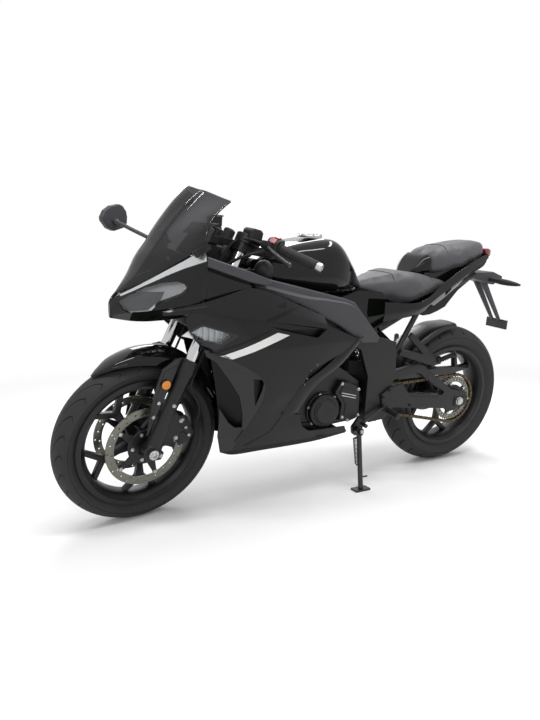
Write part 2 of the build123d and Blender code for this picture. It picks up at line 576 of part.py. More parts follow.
# Rear hugger over the front of the rear tyre
hugger_sections = []
for angle, over, half, under in [(18, 21, 72, 4), (45, 27, 74, 2), (70, 28, 73, 2), (90, 22, 60, 4)]:
    crest = REAR_TYRE_R + over
    low = REAR_TYRE_R + under
    plane = Plane(REAR_AXLE, x_dir=(0, 1, 0), z_dir=(sin(radians(angle)), 0, -cos(radians(angle))))
    line = [(-half, low), (-half * 0.8, crest - 5), (0, crest), (half * 0.8, crest - 5), (half, low)]
    hugger_sections.append(plane * Polygon(*line, *reversed(inset(line, WALL)), align=None))
guard_low = REAR_TYRE_R + REAR_PITCH_R + CHAIN_HALF_H + PAD_GAP
guard = plate([(330, guard_low + 12), (120, guard_low + 34), (-70, guard_low + 16), (40, guard_low), (330, guard_low)],
              CHAIN_Y - 6, ARM_IN_Y - SEAT_GAP)
hugger = loft(hugger_sections, ruled=True) + both_sides(cross_rod(270, 489, 62, ARM_IN_Y - SEAT_GAP, 6))
pieces["rear_hugger"] = hugger + guard

# Fuel tank and cap
tank = rounded_body([(1000, 92, 852, 892, 16), (930, 132, 822, 950, 40), (800, 150, 806, 982, 55),
                     (690, 150, 802, 988, 55), (610, 118, 802, 916, 40), (543, 64, 806, 844, 16)])
tank += Pos(CAP_X, 0, CAP_Z - 10) * Cylinder(CAP_R + 8, 20)
tank -= Pos(CAP_X, 0, CAP_Z + 10) * Cylinder(CAP_R + 12, 20)
pieces["fuel_tank"] = tank
pieces["fuel_cap"] = Pos(CAP_X, 0, CAP_Z + SEAT_GAP + CAP_T / 2) * Cylinder(CAP_R, CAP_T)

# Seats
pieces["rider_seat"] = rounded_body([(534, 52, 800, 830, 12), (440, 104, 776, 868, 36), (330, 142, 772, 872, 40),
                                     (180, 118, 800, 848, 18), (112, 92, 814, 838, 10)])
pieces["pillion_seat"] = rounded_body([(232, 44, 868, 918, 18), (196, 90, 854, 956, 38), (60, 102, 878, 984, 40),
                                       (-60, 80, 914, 994, 32), (-78, 64, 930, 980, 20)])

# Tail panels and the hump between the seats
tail_side = panel(Plane.YZ, [
    (-104, [(84, 950), (88, 932), (70, 916)]),
    (0, [(104, 918), (108, 882), (84, 854)]),
    (165, [(128, 838), (134, 800), (110, 758)]),
    (300, [(150, 764), (150, 736), (138, 712)]),
    (470, [(142, 766), (144, 716), (138, 690)]),
])
hump = rounded_body([(268, 56, 864.2, 880, 6), (254, 64, 864.2, 912, 18), (248, 66, 864.2, 922, 20)])
deck = rounded_body([(-30, 90, 874, 890, 6), (-60, 90, 886, 904, 6), (-88, 84, 898, 914, 6), (-104, 81, 918, 952, 8)])
pieces["tail_cowls"] = both_sides(tail_side) + deck + hump
pieces["tail_light"] = rounded_body([(-104 - SEAT_GAP, 62, 922, 950, 8), (-140, 42, 928, 950, 8)])

# Plate holder
holder_half = 62 - RAIL_R - SEAT_GAP
holder = plate([(-50, 864), (-50, 846), (-200, 812), (-250, 838), (-250, 850), (-190, 870)], -holder_half, holder_half)
holder += plate([(-180, 830), (-150, 824), (-296, 640), (-312, 640)], 14, 26)
holder += plate([(-180, 830), (-150, 824), (-296, 640), (-312, 640)], -26, -14)
holder += plate([(PLATE_X, PLATE_Z + 21), (PLATE_X, PLATE_Z - 21), (PLATE_X + 8, PLATE_Z - 21),
                 (PLATE_X + 8, PLATE_Z + 21)], -58, 58)
for side in (-1, 1):
    holder -= rod((PLATE_X - 5, side * PLATE_BOLTS / 2, PLATE_Z), (PLATE_X + 30, side * PLATE_BOLTS / 2, PLATE_Z), PLATE_BOLT_R)
pieces["plate_holder"] = holder
indicator = loft([Plane((-172, holder_half + SEAT_GAP, 836), x_dir=(1, 0, 0), z_dir=(0, 1, 0)) * Ellipse(10, 9),
                  Plane((-176, 110, 832), x_dir=(1, 0, 0), z_dir=(0, 1, 0)) * Ellipse(14, 12),
                  Plane((-188, 200, 828), x_dir=(1, 0, 0), z_dir=(0, 1, 0)) * Ellipse(5, 5)])
pieces["rear_indicators"] = both_sides(indicator)

# Nose cowl, lamps cut into it
nose_rows = [
    (1213, [(212, 960), (224, 908), (218, 806), (190, 772)]),
    (1269, [(165, 920), (196, 850), (213, 790), (150, 742)]),
    (1344, [(114, 866), (150, 828), (168, 772), (104, 726)]),
    (1400, [(70, 830), (96, 800), (104, 757), (60, 720)]),
    (1450, [(22, 792), (32, 768), (26, 738), (12, 722)]),
    (1464, [(8, 772), (12, 760), (12, 740), (6, 724)]),
]
nose_skin = panel(Plane.YZ, nose_rows, 6)
lamp_outline = [(1440, 786), (1372, 842), (1262, 872), (1246, 848), (1282, 800), (1352, 768), (1414, 756)]
lamp_cut = plate(lamp_outline, 30, 260)
nose_left = nose_skin - lamp_cut
beak = plate([(1463, 770), (1463, 726), (1380, 716), (1372, 722), (1424, 742)], -5, 5)
boss = plate([(1262, 946), (1214, 976), (1196, 960), (1244, 930)], BOSS_OUT_Y - 21, BOSS_OUT_Y)
nose = both_sides(nose_left + boss) + beak
for side in (-1, 1):
    hole = BOSS_MID + BOSS_RUN.normalized() * side * MIRROR_BOLT_REACH
    nose -= cross_rod(hole.X, hole.Z, 100, 300, MIRROR_BOLT_R)
pieces["nose_cowl"] = nose

# Windscreen with a bulge up its middle
screen_rows = [
    # z, middle x, side x, side y, bulge
    (806, 1444, 1430, 16, 0),
    (860, 1408, 1352, 100, 0),
    (920, 1370, 1272, 158, 8),
    (964, 1330, 1216, 202, 16),
    (1010, 1288, 1206, 204, 30),
    (1060, 1244, 1178, 190, 40),
    (1100, 1212, 1122, 170, 40),
    (1146, 1180, 1140, 84, 26),
]
BULGE_HALF = 80.0


def screen_line(middle, side, half, bulge, thin):
    waist = min(BULGE_HALF, half * 0.6)
    waist_x = middle - (middle - side) * (waist / half) ** 2
    mid_y = (waist + half) / 2
    mid_x = middle - (middle - side) * (mid_y / half) ** 2
    left = ThreePointArc((side - thin, half - thin), (mid_x - thin, mid_y - thin * 0.5), (waist_x - thin, waist))
    front = ThreePointArc((waist_x - thin, waist), (middle + bulge - thin, 0), (waist_x - thin, -waist))
    right = ThreePointArc((waist_x - thin, -waist), (mid_x - thin, -mid_y + thin * 0.5), (side - thin, thin - half))
    return left, front, right


screen_sections = []
for z, middle, side, half, bulge in screen_rows:
    outer = screen_line(middle, side, half, bulge, 0)
    inner = screen_line(middle, side, half, bulge, WALL)
    ends = [Line(outer[2] @ 1, inner[2] @ 1), Line(inner[0] @ 0, outer[0] @ 0)]
    screen_sections.append(Plane.XY.offset(z) * make_face([*outer, ends[0], *inner, ends[1]]))
pieces["windscreen"] = loft(screen_sections, ruled=True)

# Side fairings: upper wing, lower panel, strip and belly
wing = panel(Plane.YZ, [
    (780, [(206, 736), (232, 712), (238, 698)]),
    (900, [(206, 786), (232, 744), (242, 718)]),
    (1000, [(212, 826), (232, 770), (243, 734)]),
    (1073, [(222, 842), (234, 790), (243, 745)]),
    (1217, [(230, 803), (243, 790), (245, 767)]),
    (1340, [(186, 770), (190, 764), (188, 756)]),
])
lower = panel(Plane.XY, [
    (784, [(1236, 213), (1200, 216), (1040, 219), (800, 206), (640, 190)]),
    (744, [(1268, 192), (1200, 217), (1040, 223), (800, 212), (640, 196)]),
    (690, [(1250, 190), (1170, 216), (1040, 228), (790, 222), (620, 200)]),
    (636, [(1199, 160), (1168, 204), (1020, 234), (800, 226), (612, 202)]),
    (546, [(1168, 166), (1026, 232), (980, 234), (850, 226), (836, 225)]),
    (476, [(1150, 170), (1011, 228), (960, 228), (890, 220), (868, 218)]),
    (400, [(1146, 170), (1036, 204), (980, 206), (950, 204), (930, 203)]),
    (330, [(1150, 166), (1066, 178), (960, 180), (800, 176), (640, 162)]),
    (262, [(1132, 146), (1092, 150), (960, 150), (760, 146), (600, 136)]),
])
lower -= plate([(1420, 800), (1190, 780), (1040, 752), (780, 711), (600, 636), (540, 900), (1420, 900)], 100, 300)
strip = panel(Plane.XY, [
    (650, [(640, 205), (610, 204), (600, 200)]),
    (560, [(760, 214), (720, 214), (690, 206)]),
    (490, [(866, 214), (830, 214), (790, 206)]),
    (400, [(926, 200), (880, 200), (850, 192)]),
    (333, [(960, 180), (900, 180), (862, 174)]),
])
belly = panel(Plane.YZ, [
    (596, [(134, 262), (126, 250), (0, 246)]),
    (760, [(146, 262), (136, 240), (0, 234)]),
    (980, [(150, 262), (139, 240), (0, 234)]),
    (1050, [(150, 262), (140, 240), (96, 236)]),
    (1092, [(149, 262), (141, 244), (124, 240)]),
    (1128, [(146, 262), (142, 258), (136, 256)]),
])
lens_outline = [(1274, 690), (1220, 723), (1121, 692), (1163, 663)]
lens_cut = plate(lens_outline, 150, 260)
lens = lower & plate([(1273, 690), (1220, 722.4), (1122.4, 692), (1163, 663.7)], 150, 260)
side_fairing = lower - lens_cut + strip + cross_rod(640, 646, FRAME_OUT_Y + SEAT_GAP, 204.6, 6)
pieces["fairing_left"] = side_fairing
pieces["fairing_right"] = mirrored(side_fairing)
pieces["upper_wings"] = both_sides(wing)
pieces["belly_pan"] = both_sides(belly)
pieces["front_lamps"] = both_sides((nose_skin & lamp_cut) + lens)

# Frame covers, cockpit trims and dash
cover = plate([(1036, 852), (1016, 870), (860, 834), (675, 790), (640, 778), (515, 642), (525, 622), (590, 624),
               (700, 694), (860, 772), (1027, 832)], FRAME_OUT_Y + SEAT_GAP, 196)
trim = plate([(1213 - SEAT_GAP, 926), (1213 - SEAT_GAP, 896), (1046, 838), (1037, 858), (1060, 874)], 190, 219)
pieces["frame_covers"] = both_sides(cover + trim)
pieces["dash"] = plate([(1221, 936), (1153, 1022), (1137, 1012), (1185, 922)], -84, 84)

# Right mirror on its stem
stem_in = BOSS_OUT_Y + SEAT_GAP
stem = mirrored(cross_rod(BOSS_MID.X, BOSS_MID.Z, stem_in, stem_in + 14, 20))
stem += rod((BOSS_MID.X + 4, -stem_in - 13, BOSS_MID.Z), (1370, -352, 1024), 8)
head = Pos(1376, -366, 1033) * Rot(0, 0, -24) * fillet(Box(34, 118, 74).edges().filter_by(Axis.X), 26)
pieces["right_mirror"] = stem + head

# Footrests with their hangers, foot levers and the rear pair
hanger = plate([(462, 402), (446, 330), (412, 318), (396, 345), (300, 330), (286, 346), (360, 440), (420, 428)],
               FRAME_OUT_Y + SEAT_GAP, FRAME_OUT_Y + 9)
hanger += rod((428, FRAME_OUT_Y + 4, 338), (427, 232, 330), 11)
hanger += rod((448, FRAME_OUT_Y + 15, 350), (556, 176, 300), 6) + rod((448, FRAME_OUT_Y + 4, 350), (448, FRAME_OUT_Y + 22, 350), 9)
hanger += rod((556, 170, 300), (556, 206, 300), 8)
pieces["footrests"] = both_sides(hanger)
rest_in = FRAME_IN_Y
rear_rest = plate([(376, 552), (362, 574), (250, 548), (334, 622), (318, 640), (200, 545), (150, 530), (145, 498),
                   (190, 492)], rest_in, rest_in + 12)
rear_rest += rod((162, rest_in + 8, 512), (116, 192, 556), 10)
pieces["rear_footrests"] = both_sides(rear_rest)

# Side stand: eye on its pin, leg and a foot flat on the road
stand = rod(STAND_PIVOT - stand_axis * (STAND_EYE_T / 2), STAND_PIVOT + stand_axis * (STAND_EYE_T / 2), STAND_EYE_R)
stand += rod(STAND_PIVOT + stand_run * 4, foot_top, STAND_LEG_R)
stand -= rod(STAND_PIVOT - stand_axis * 40, STAND_PIVOT + stand_axis * 40, STAND_PIN_R + RUN_GAP / 2)
foot = Pos(STAND_FOOT_X, STAND_FOOT_Y, STAND_FOOT_T / 2) * Box(66, 40, STAND_FOOT_T)
stand += PARK.inverse() * foot
pieces["side_stand"] = stand

# Steer the front end, park the whole, and move the origin under its middle
parked = {name: PARK * shape for name, shape in pieces.items()}
parked.update({name: PARK * STEER_TURN * shape for name, shape in steered.items()})
boxes = [shape.bounding_box() for shape in parked.values()]
mid_x = (min(box.min.X for box in boxes) + max(box.max.X for box in boxes)) / 2
mid_y = (min(box.min.Y for box in boxes) + max(box.max.Y for box in boxes)) / 2
CENTRE = Pos(-mid_x, -mid_y, 0)
os.makedirs("parts", exist_ok=True)
for name, shape in parked.items():
    export_step(CENTRE * shape, f"parts/{name}.step")
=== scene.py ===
import json
from math import asin, atan2, cos, degrees, pi, radians, sin
import bpy
import bmesh
from mathutils import Matrix, Vector
from mathutils.bvhtree import BVHTree


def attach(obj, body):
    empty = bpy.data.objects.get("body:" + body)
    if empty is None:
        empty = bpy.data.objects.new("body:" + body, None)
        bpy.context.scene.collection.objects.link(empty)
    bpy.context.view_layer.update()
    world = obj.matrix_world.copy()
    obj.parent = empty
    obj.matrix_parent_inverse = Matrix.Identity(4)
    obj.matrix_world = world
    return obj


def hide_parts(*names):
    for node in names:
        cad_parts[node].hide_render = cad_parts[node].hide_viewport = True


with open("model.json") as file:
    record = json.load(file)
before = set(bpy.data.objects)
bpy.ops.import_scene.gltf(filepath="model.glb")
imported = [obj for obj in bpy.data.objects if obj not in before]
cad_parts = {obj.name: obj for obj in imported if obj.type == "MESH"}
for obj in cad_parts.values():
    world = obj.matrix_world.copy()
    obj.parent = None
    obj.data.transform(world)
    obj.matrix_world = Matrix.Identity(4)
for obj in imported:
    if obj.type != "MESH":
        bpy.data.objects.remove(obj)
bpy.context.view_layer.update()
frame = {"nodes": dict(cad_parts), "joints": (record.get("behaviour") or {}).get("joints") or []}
nodes = frame["nodes"]
joints = {joint["name"]: joint for joint in frame["joints"]}
scene = bpy.context.scene
scene.view_settings.view_transform = "Standard"
print("frame loaded with", len(nodes), "nodes")

# Points below are millimetres on the upright machine: x forward from the rear axle, y left, z up.
stance = {"rake": 25.0, "wheelbase": 1380.0, "frontAxleUp": 293.0, "rearAxleUp": 314.0, "trail": 95.0}
rakeAngle = radians(stance["rake"])


# Where the upright machine stands in the frame, from a wheel's joint and the steering joint.
def machineFrame(wheelJoint, atX, atZ):
    side = Vector(joints[wheelJoint]["axis"]).normalized()
    steerUp = Vector(joints["steering"]["axis"]).normalized()
    steerForward = side.cross(steerUp).normalized()
    forward = steerForward * cos(rakeAngle) - steerUp * sin(rakeAngle)
    upward = steerForward * sin(rakeAngle) + steerUp * cos(rakeAngle)
    turned = Matrix((forward, side, upward)).transposed().to_4x4() @ Matrix.Scale(0.001, 4)
    turned.translation = Vector(joints[wheelJoint]["pos_m"]) - turned @ Vector((atX, 0, atZ))
    return turned


bikeAt = machineFrame("rear_wheel_spin", 0, stance["rearAxleUp"])
forkAt = machineFrame("front_wheel_spin", stance["wheelbase"], stance["frontAxleUp"])
frontHubAt = forkAt @ Matrix.Translation((stance["wheelbase"], 0, stance["frontAxleUp"]))
rearHubAt = bikeAt @ Matrix.Translation((0, 0, stance["rearAxleUp"]))

# Camera at the photograph's viewing angle
view = {"fromAxle": (1.7618, 1.8278, 0.4752), "yaw": -2.02795, "pitch": -0.12704, "roll": 0.020435,
    "lens": 26.62}
lookX = Vector((cos(view["pitch"]) * cos(view["yaw"]), cos(view["pitch"]) * sin(view["yaw"]),
        sin(view["pitch"])))
camRight = lookX.cross(Vector((0, 0, 1))).normalized()
camUp = camRight.cross(lookX)
spin = Matrix.Rotation(view["roll"], 3, lookX)
camRight, camUp = spin @ camRight, spin @ camUp
cameraData = bpy.data.cameras.new("photoCamera")
cameraData.lens = view["lens"]
cameraData.sensor_width = 36.0
cameraData.sensor_fit = "AUTO"
camera = bpy.data.objects.new("photoCamera", cameraData)
camera.matrix_world = Matrix((camRight, camUp, -lookX)).transposed().to_4x4()
camera.location = Vector(joints["rear_wheel_spin"]["pos_m"]) + Vector(view["fromAxle"])
scene.collection.objects.link(camera)
scene.camera = camera


def hexColour(text):
    levels = [int(text[at:at + 2], 16) / 255 for at in (1, 3, 5)]
    return tuple(v / 12.92 if v <= 0.04045 else ((v + 0.055) / 1.055) ** 2.4 for v in levels) + (1.0,)


# Adds a node, sets its properties and sockets, and links its inputs.
def addNode(tree, kind, settings=None, links=None):
    node = tree.nodes.new(kind)
    for key, value in (settings or {}).items():
        if isinstance(key, str) and hasattr(node, key):
            setattr(node, key, value)
        else:
            node.inputs[key].default_value = value
    for key, source in (links or {}).items():
        tree.links.new(source, node.inputs[key])
    return node


def newObject(name, data):
    made = bpy.data.objects.new(name, data)
    scene.collection.objects.link(made)
    return made


# The mesh that an object's modifiers or its bevel give
def finalMesh(holder):
    bpy.context.view_layer.update()
    return bpy.data.meshes.new_from_object(holder.evaluated_get(bpy.context.evaluated_depsgraph_get()))


def draftOf(bm):
    mesh = bpy.data.meshes.new("draft")
    bm.to_mesh(mesh)
    bm.free()
    return mesh


# Light: a pale floor, a white surround and four soft lamps
studio = {"surround": 0.7, "horizon": 0.95, "floorSize": 16.0, "fadeFrom": 1.9, "fadeTo": 4.5}
world = bpy.data.worlds.new("studio")
scene.world = world
world.use_nodes = True
sky = world.node_tree
sky.nodes.clear()
rays = addNode(sky, "ShaderNodeLightPath")
seen = addNode(sky, "ShaderNodeMath", {"operation": "MAXIMUM"},
    {0: rays.outputs["Is Camera Ray"], 1: rays.outputs["Is Transmission Ray"]})
direction = addNode(sky, "ShaderNodeTexCoord")
split = addNode(sky, "ShaderNodeSeparateXYZ", None, {"Vector": direction.outputs["Generated"]})
rise = addNode(sky, "ShaderNodeMapRange", {"From Min": 0.05, "From Max": 0.75, "To Min": studio["horizon"],
        "To Max": 1.0},
    {"Value": split.outputs["Z"]})
mirrored = addNode(sky, "ShaderNodeMix", {"data_type": "FLOAT", 2: studio["surround"]},
    {0: rays.outputs["Is Glossy Ray"], 3: rise.outputs[0]})
strength = addNode(sky, "ShaderNodeMix", {"data_type": "FLOAT", 3: 1.0},
    {0: seen.outputs[0], 2: mirrored.outputs[0]})
glow = addNode(sky, "ShaderNodeBackground", {"Color": (1, 1, 1, 1)}, {"Strength": strength.outputs[0]})
addNode(sky, "ShaderNodeOutputWorld", None, {"Surface": glow.outputs[0]})

lampTable = [
    # name, place, aim, length, width, power
    ("overheadStrip", (0.5, 0.9, 3.0), (0.0, 0.0, 0.5), 3.2, 0.2, 50),
    ("sideStrip", (1.9, 3.2, 1.9), (0.1, 0.0, 0.6), 2.6, 0.1, 16),
    ("rearStrip", (-1.4, 0.2, 3.2), (-0.3, 0.0, 0.6), 2.0, 0.2, 30),
    ("farSoftbox", (-0.6, -2.8, 2.6), (0.0, 0.0, 0.5), 2.4, 1.0, 45),
]
for name, place, aim, size, depth, power in lampTable:
    lampData = bpy.data.lights.new(name, "AREA")
    lampData.shape = "RECTANGLE"
    lampData.size, lampData.size_y, lampData.energy = size, depth, power
    lamp = bpy.data.objects.new(name, lampData)
    lamp.location = place
    lamp.rotation_euler = (Vector(aim) - Vector(place)).to_track_quat("-Z", "Y").to_euler()
    scene.collection.objects.link(lamp)

floorMesh = bpy.data.meshes.new("floor")
reach = studio["floorSize"] / 2
floorMesh.from_pydata([(-reach, -reach, 0), (reach, -reach, 0), (reach, reach, 0), (-reach, reach, 0)], [],
    [(0, 1, 2, 3)])
floorObject = newObject("floor", floorMesh)
print("camera and lights set")


# Each finish: colour and its patches, roughness and its spread, grain size and depth in millimetres,
# and what the shader's own sockets hold.
finishes = {
    # sprayed black lacquer on ABS: deep, wet looking, with a faint orange peel
    "blackLacquer": dict(colour="#0a0c0a", patch="#0e110e", patchSize=160, rough=0.05, spread=0.025, grain=9,
        depth=0.02, sockets={"Specular IOR Level": 0.24, "Coat Weight": 0.1, "Coat Roughness": 0.02}),
    # black polypropylene inside ducts, behind panels, under the belly and as the panel gap and scoop foils:
    # its near-black colour, darker than the lacquer, is painted shade of these recesses and of the underside
    "ductPolypropylene": dict(colour="#050606", patch="#080909", patchSize=60, rough=0.4, spread=0.08,
        grain=2, depth=0.04, sockets={"Specular IOR Level": 0.2}),
    # grey moulded lamp bezel
    "greyAbs": dict(colour="#66696c", patch="#585b5e", patchSize=30, rough=0.35, spread=0.08, grain=1.5,
        depth=0.03, sockets={"Specular IOR Level": 0.45}),
    # satin moulded ABS on the front facets: even, a little blurred shine
    "satinAbs": dict(colour="#131315", patch="#18181b", patchSize=120, rough=0.3, spread=0.07, grain=1.6,
        depth=0.04, sockets={"Specular IOR Level": 0.42}),
    # textured polypropylene of covers and holders: dull, finely pebbled
    "pebbledPolypropylene": dict(colour="#333337", patch="#3c3c41", patchSize=70, rough=0.5, spread=0.1,
        grain=1.3, depth=0.12, sockets={"Specular IOR Level": 0.4}),
    # powder coated cast aluminium: soft black with small lumps from the casting
    "powderCoatedAlloy": dict(colour="#0d0d0f", patch="#151517", patchSize=60, rough=0.4, spread=0.1,
        grain=2.2, depth=0.1, sockets={"Specular IOR Level": 0.36}),
    # vulcanised rubber of the tyres: grey black, dusty in places, no shine
    "tyreRubber": dict(colour="#1d1d1f", patch="#2a2a2b", patchSize=45, rough=0.68, spread=0.12, grain=1.5,
        depth=0.1, sockets={"Specular IOR Level": 0.35}),
    # soft rubber of grips and boots
    "gripRubber": dict(colour="#1a1a1b", patch="#222223", patchSize=20, rough=0.6, spread=0.08, grain=1.2,
        depth=0.08, sockets={"Specular IOR Level": 0.35}),
    # embossed vinyl of the seats: charcoal, leather-like cells and a low sheen
    "seatVinyl": dict(colour="#3a393c", patch="#454448", patchSize=90, rough=0.5, spread=0.08, grain=2.6,
        depth=0.22, cells=True, sockets={"Specular IOR Level": 0.4, "Sheen Weight": 0.12,
            "Sheen Roughness": 0.5}),
    # ground stainless steel of the discs: pale grey with turning marks
    "groundSteel": dict(colour="#7d7c74", patch="#6c6b64", patchSize=25, rough=0.36, spread=0.1, grain=0.9,
        depth=0.02, sockets={"Metallic": 1.0}),
    # hard chromed steel of the fork tubes: mirror bright
    "hardChrome": dict(colour="#c9cacb", patch="#bfc0c2", patchSize=40, rough=0.1, spread=0.04, grain=3,
        depth=0.005, sockets={"Metallic": 1.0}),
    # machined aluminium of bar weights, axles and bolts: light and satin
    "machinedAluminium": dict(colour="#c4c4c2", patch="#a9a9a7", patchSize=18, rough=0.3, spread=0.1,
        grain=1.0, depth=0.03, sockets={"Metallic": 1.0}),
    # blackened steel of brackets, levers and stands
    "blackenedSteel": dict(colour="#141415", patch="#1e1d1c", patchSize=30, rough=0.36, spread=0.1, grain=1.6,
        depth=0.06, sockets={"Specular IOR Level": 0.5}),
    # stainless pipe tanned by heat
    "heatedStainless": dict(colour="#9a8661", patch="#75634a", patchSize=60, rough=0.34, spread=0.1,
        grain=1.5, depth=0.03, sockets={"Metallic": 1.0}),
    # greased roller chain: dull bronze brown
    "greasedChain": dict(colour="#6a5d47", patch="#413a30", patchSize=14, rough=0.48, spread=0.15, grain=1.2,
        depth=0.05, sockets={"Metallic": 1.0}),
    # brushed aluminium sleeve of the silencer
    "brushedAluminium": dict(colour="#b4b4b3", patch="#9c9c9b", patchSize=50, rough=0.32, spread=0.1,
        grain=1.4, depth=0.03, sockets={"Metallic": 1.0}),
    # smoked acrylic of the screen: see-through, grey, polished
    "smokedAcrylic": dict(colour="#39393d", patch="#323236", patchSize=200, rough=0.03, spread=0.01, grain=40,
        depth=0.0005, sockets={"Transmission Weight": 1.0, "IOR": 1.45}),
    # clear polycarbonate lens
    "clearPolycarbonate": dict(colour="#e9ebec", patch="#e2e5e6", patchSize=60, rough=0.05, spread=0.02,
        grain=20, depth=0.01, sockets={"Transmission Weight": 1.0, "IOR": 1.45}),
    # smoked polycarbonate of the headlamps
    "smokedPolycarbonate": dict(colour="#d3d4d6", patch="#c6c7ca", patchSize=80, rough=0.06, spread=0.02,
        grain=30, depth=0.01, sockets={"Transmission Weight": 1.0, "IOR": 1.45}),
    # vacuum metallised reflector bowl, pale and only partly metallic so that it shows bright under the lamps:
    # painted reflection
    "metallisedBowl": dict(colour="#e2e3e4", patch="#d2d3d5", patchSize=16, rough=0.3, spread=0.08, grain=3,
        depth=0.05, sockets={"Metallic": 0.35}),
    # pressed amber acrylic with prisms behind a smooth face
    "amberAcrylic": dict(colour="#e8920f", patch="#c8700a", patchSize=7, rough=0.2, spread=0.06, grain=4,
        depth=0.15, cells=True, sockets={"Specular IOR Level": 0.6}),
    # red acrylic of the tail light
    "redAcrylic": dict(colour="#8d1226", patch="#5c0a18", patchSize=9, rough=0.18, spread=0.05, grain=4,
        depth=0.12, cells=True, sockets={"Specular IOR Level": 0.6}),
    # silver foil of the nose stripe: pale with a soft mirror
    "silverFoil": dict(colour="#c9cacb", patch="#b6b7b9", patchSize=40, rough=0.26, spread=0.05, grain=4,
        depth=0.01, sockets={"Metallic": 0.75}),
    # white printed foil of the side slash
    "whiteFoil": dict(colour="#dcdddb", patch="#cfd0ce", patchSize=50, rough=0.3, spread=0.05, grain=3,
        depth=0.01, sockets={"Specular IOR Level": 0.4}),
    # mirror glass
    "mirrorGlass": dict(colour="#dfe2e4", patch="#d8dbdd", patchSize=80, rough=0.02, spread=0.01, grain=60,
        depth=0.002, sockets={"Metallic": 1.0}),
    # red moulded switch
    "redAbs": dict(colour="#8a0e1f", patch="#780b1a", patchSize=12, rough=0.3, spread=0.06, grain=1.2,
        depth=0.03, sockets={"Specular IOR Level": 0.45}),
    # pale floor
    "paleFloor": dict(colour="#f4f4f4", patch="#f1f1f1", patchSize=900, rough=0.9, spread=0.03, grain=30,
        depth=0.02, sockets={"Specular IOR Level": 0.0}),
}


def makeFinish(name, colour, patch, patchSize, rough, spread, grain, depth, sockets, cells=False):
    material = bpy.data.materials.new(name)
    material.use_nodes = True
    tree = material.node_tree
    shader = tree.nodes["Principled BSDF"]
    place = addNode(tree, "ShaderNodeTexCoord")
    blotches = addNode(tree, "ShaderNodeTexNoise", {"Scale": 1000 / patchSize, "Detail": 5.0,
            "Roughness": 0.6},
        {"Vector": place.outputs["Object"]})
    tint = addNode(tree, "ShaderNodeMix", {"data_type": "RGBA", 6: hexColour(colour), 7: hexColour(patch)},
        {0: blotches.outputs["Fac"]})
    shine = addNode(tree, "ShaderNodeMapRange", {"To Min": max(rough - spread, 0.0),
            "To Max": rough + spread},
        {"Value": blotches.outputs["Fac"]})
    if cells:
        grainNode = addNode(tree, "ShaderNodeTexVoronoi", {"Scale": 1000 / grain},
            {"Vector": place.outputs["Object"]})
        height = grainNode.outputs["Distance"]
    else:
        grainNode = addNode(tree, "ShaderNodeTexNoise", {"Scale": 1000 / grain, "Detail": 3.0},
            {"Vector": place.outputs["Object"]})
        height = grainNode.outputs["Fac"]
    bump = addNode(tree, "ShaderNodeBump", {"Strength": 0.6, "Distance": depth / 1000}, {"Height": height})
    tree.links.new(tint.outputs[2], shader.inputs["Base Color"])
    tree.links.new(shine.outputs[0], shader.inputs["Roughness"])
    tree.links.new(bump.outputs[0], shader.inputs["Normal"])
    for socket, value in sockets.items():
        shader.inputs[socket].default_value = value
    return material


finish = {name: makeFinish(name, **spec) for name, spec in finishes.items()}
floorMesh.materials.append(finish["paleFloor"])
floorTree = finish["paleFloor"].node_tree
spot = addNode(floorTree, "ShaderNodeTexCoord")
fromMiddle = addNode(floorTree, "ShaderNodeVectorMath", {"operation": "LENGTH"}, {0: spot.outputs["Object"]})
fade = addNode(floorTree, "ShaderNodeMapRange", {"From Min": studio["fadeFrom"], "From Max": studio["fadeTo"],
        "interpolation_type": "SMOOTHSTEP"}, {"Value": fromMiddle.outputs["Value"]})
clear = addNode(floorTree, "ShaderNodeBsdfTransparent")
faded = addNode(floorTree, "ShaderNodeMixShader", None, {0: fade.outputs[0], 2: clear.outputs[0],
        1: floorTree.nodes["Principled BSDF"].outputs[0]})
floorTree.links.new(faded.outputs[0], floorTree.nodes["Material Output"].inputs["Surface"])
print("finishes made:", len(finish))

# Finish of each solid, seen where no piece replaces it
nodeFinish = {
    "blackLacquer": ["fuel_tank", "nose_cowl", "fairing_left", "fairing_right", "upper_wings", "belly_pan",
        "front_fender", "tail_cowls", "rear_hugger"],
    "pebbledPolypropylene": ["frame_covers", "dash", "right_mirror", "plate_holder", "rear_indicators"],
    "powderCoatedAlloy": ["main_frame", "subframe_rails", "swingarm", "front_rim", "rear_rim", "fork_legs",
        "yokes",
        "front_calipers", "engine_block", "engine_covers", "radiator", "rear_footrests", "footrests"],
    "tyreRubber": ["front_tyre", "rear_tyre"],
    "groundSteel": ["front_discs", "rear_disc", "rear_sprocket", "front_axle", "rear_axle", "rear_shock"],
    "greasedChain": ["drive_chain"],
    "seatVinyl": ["rider_seat", "pillion_seat"],
    "smokedAcrylic": ["windscreen"],
    "smokedPolycarbonate": ["front_lamps"],
    "redAcrylic": ["tail_light"],
    "amberAcrylic": ["fork_reflectors"],
    "heatedStainless": ["exhaust_pipes"],
    "brushedAluminium": ["muffler"],
    "machinedAluminium": ["fuel_cap"],
    "blackenedSteel": ["side_stand"],
    "gripRubber": ["handlebars", "brake_hoses"],
}
for finishName, nodeNames in nodeFinish.items():
    for nodeName in nodeNames:
        nodes[nodeName].data.materials.clear()
        nodes[nodeName].data.materials.append(finish[finishName])
print("solids finished:", sum(len(names) for names in nodeFinish.values()))


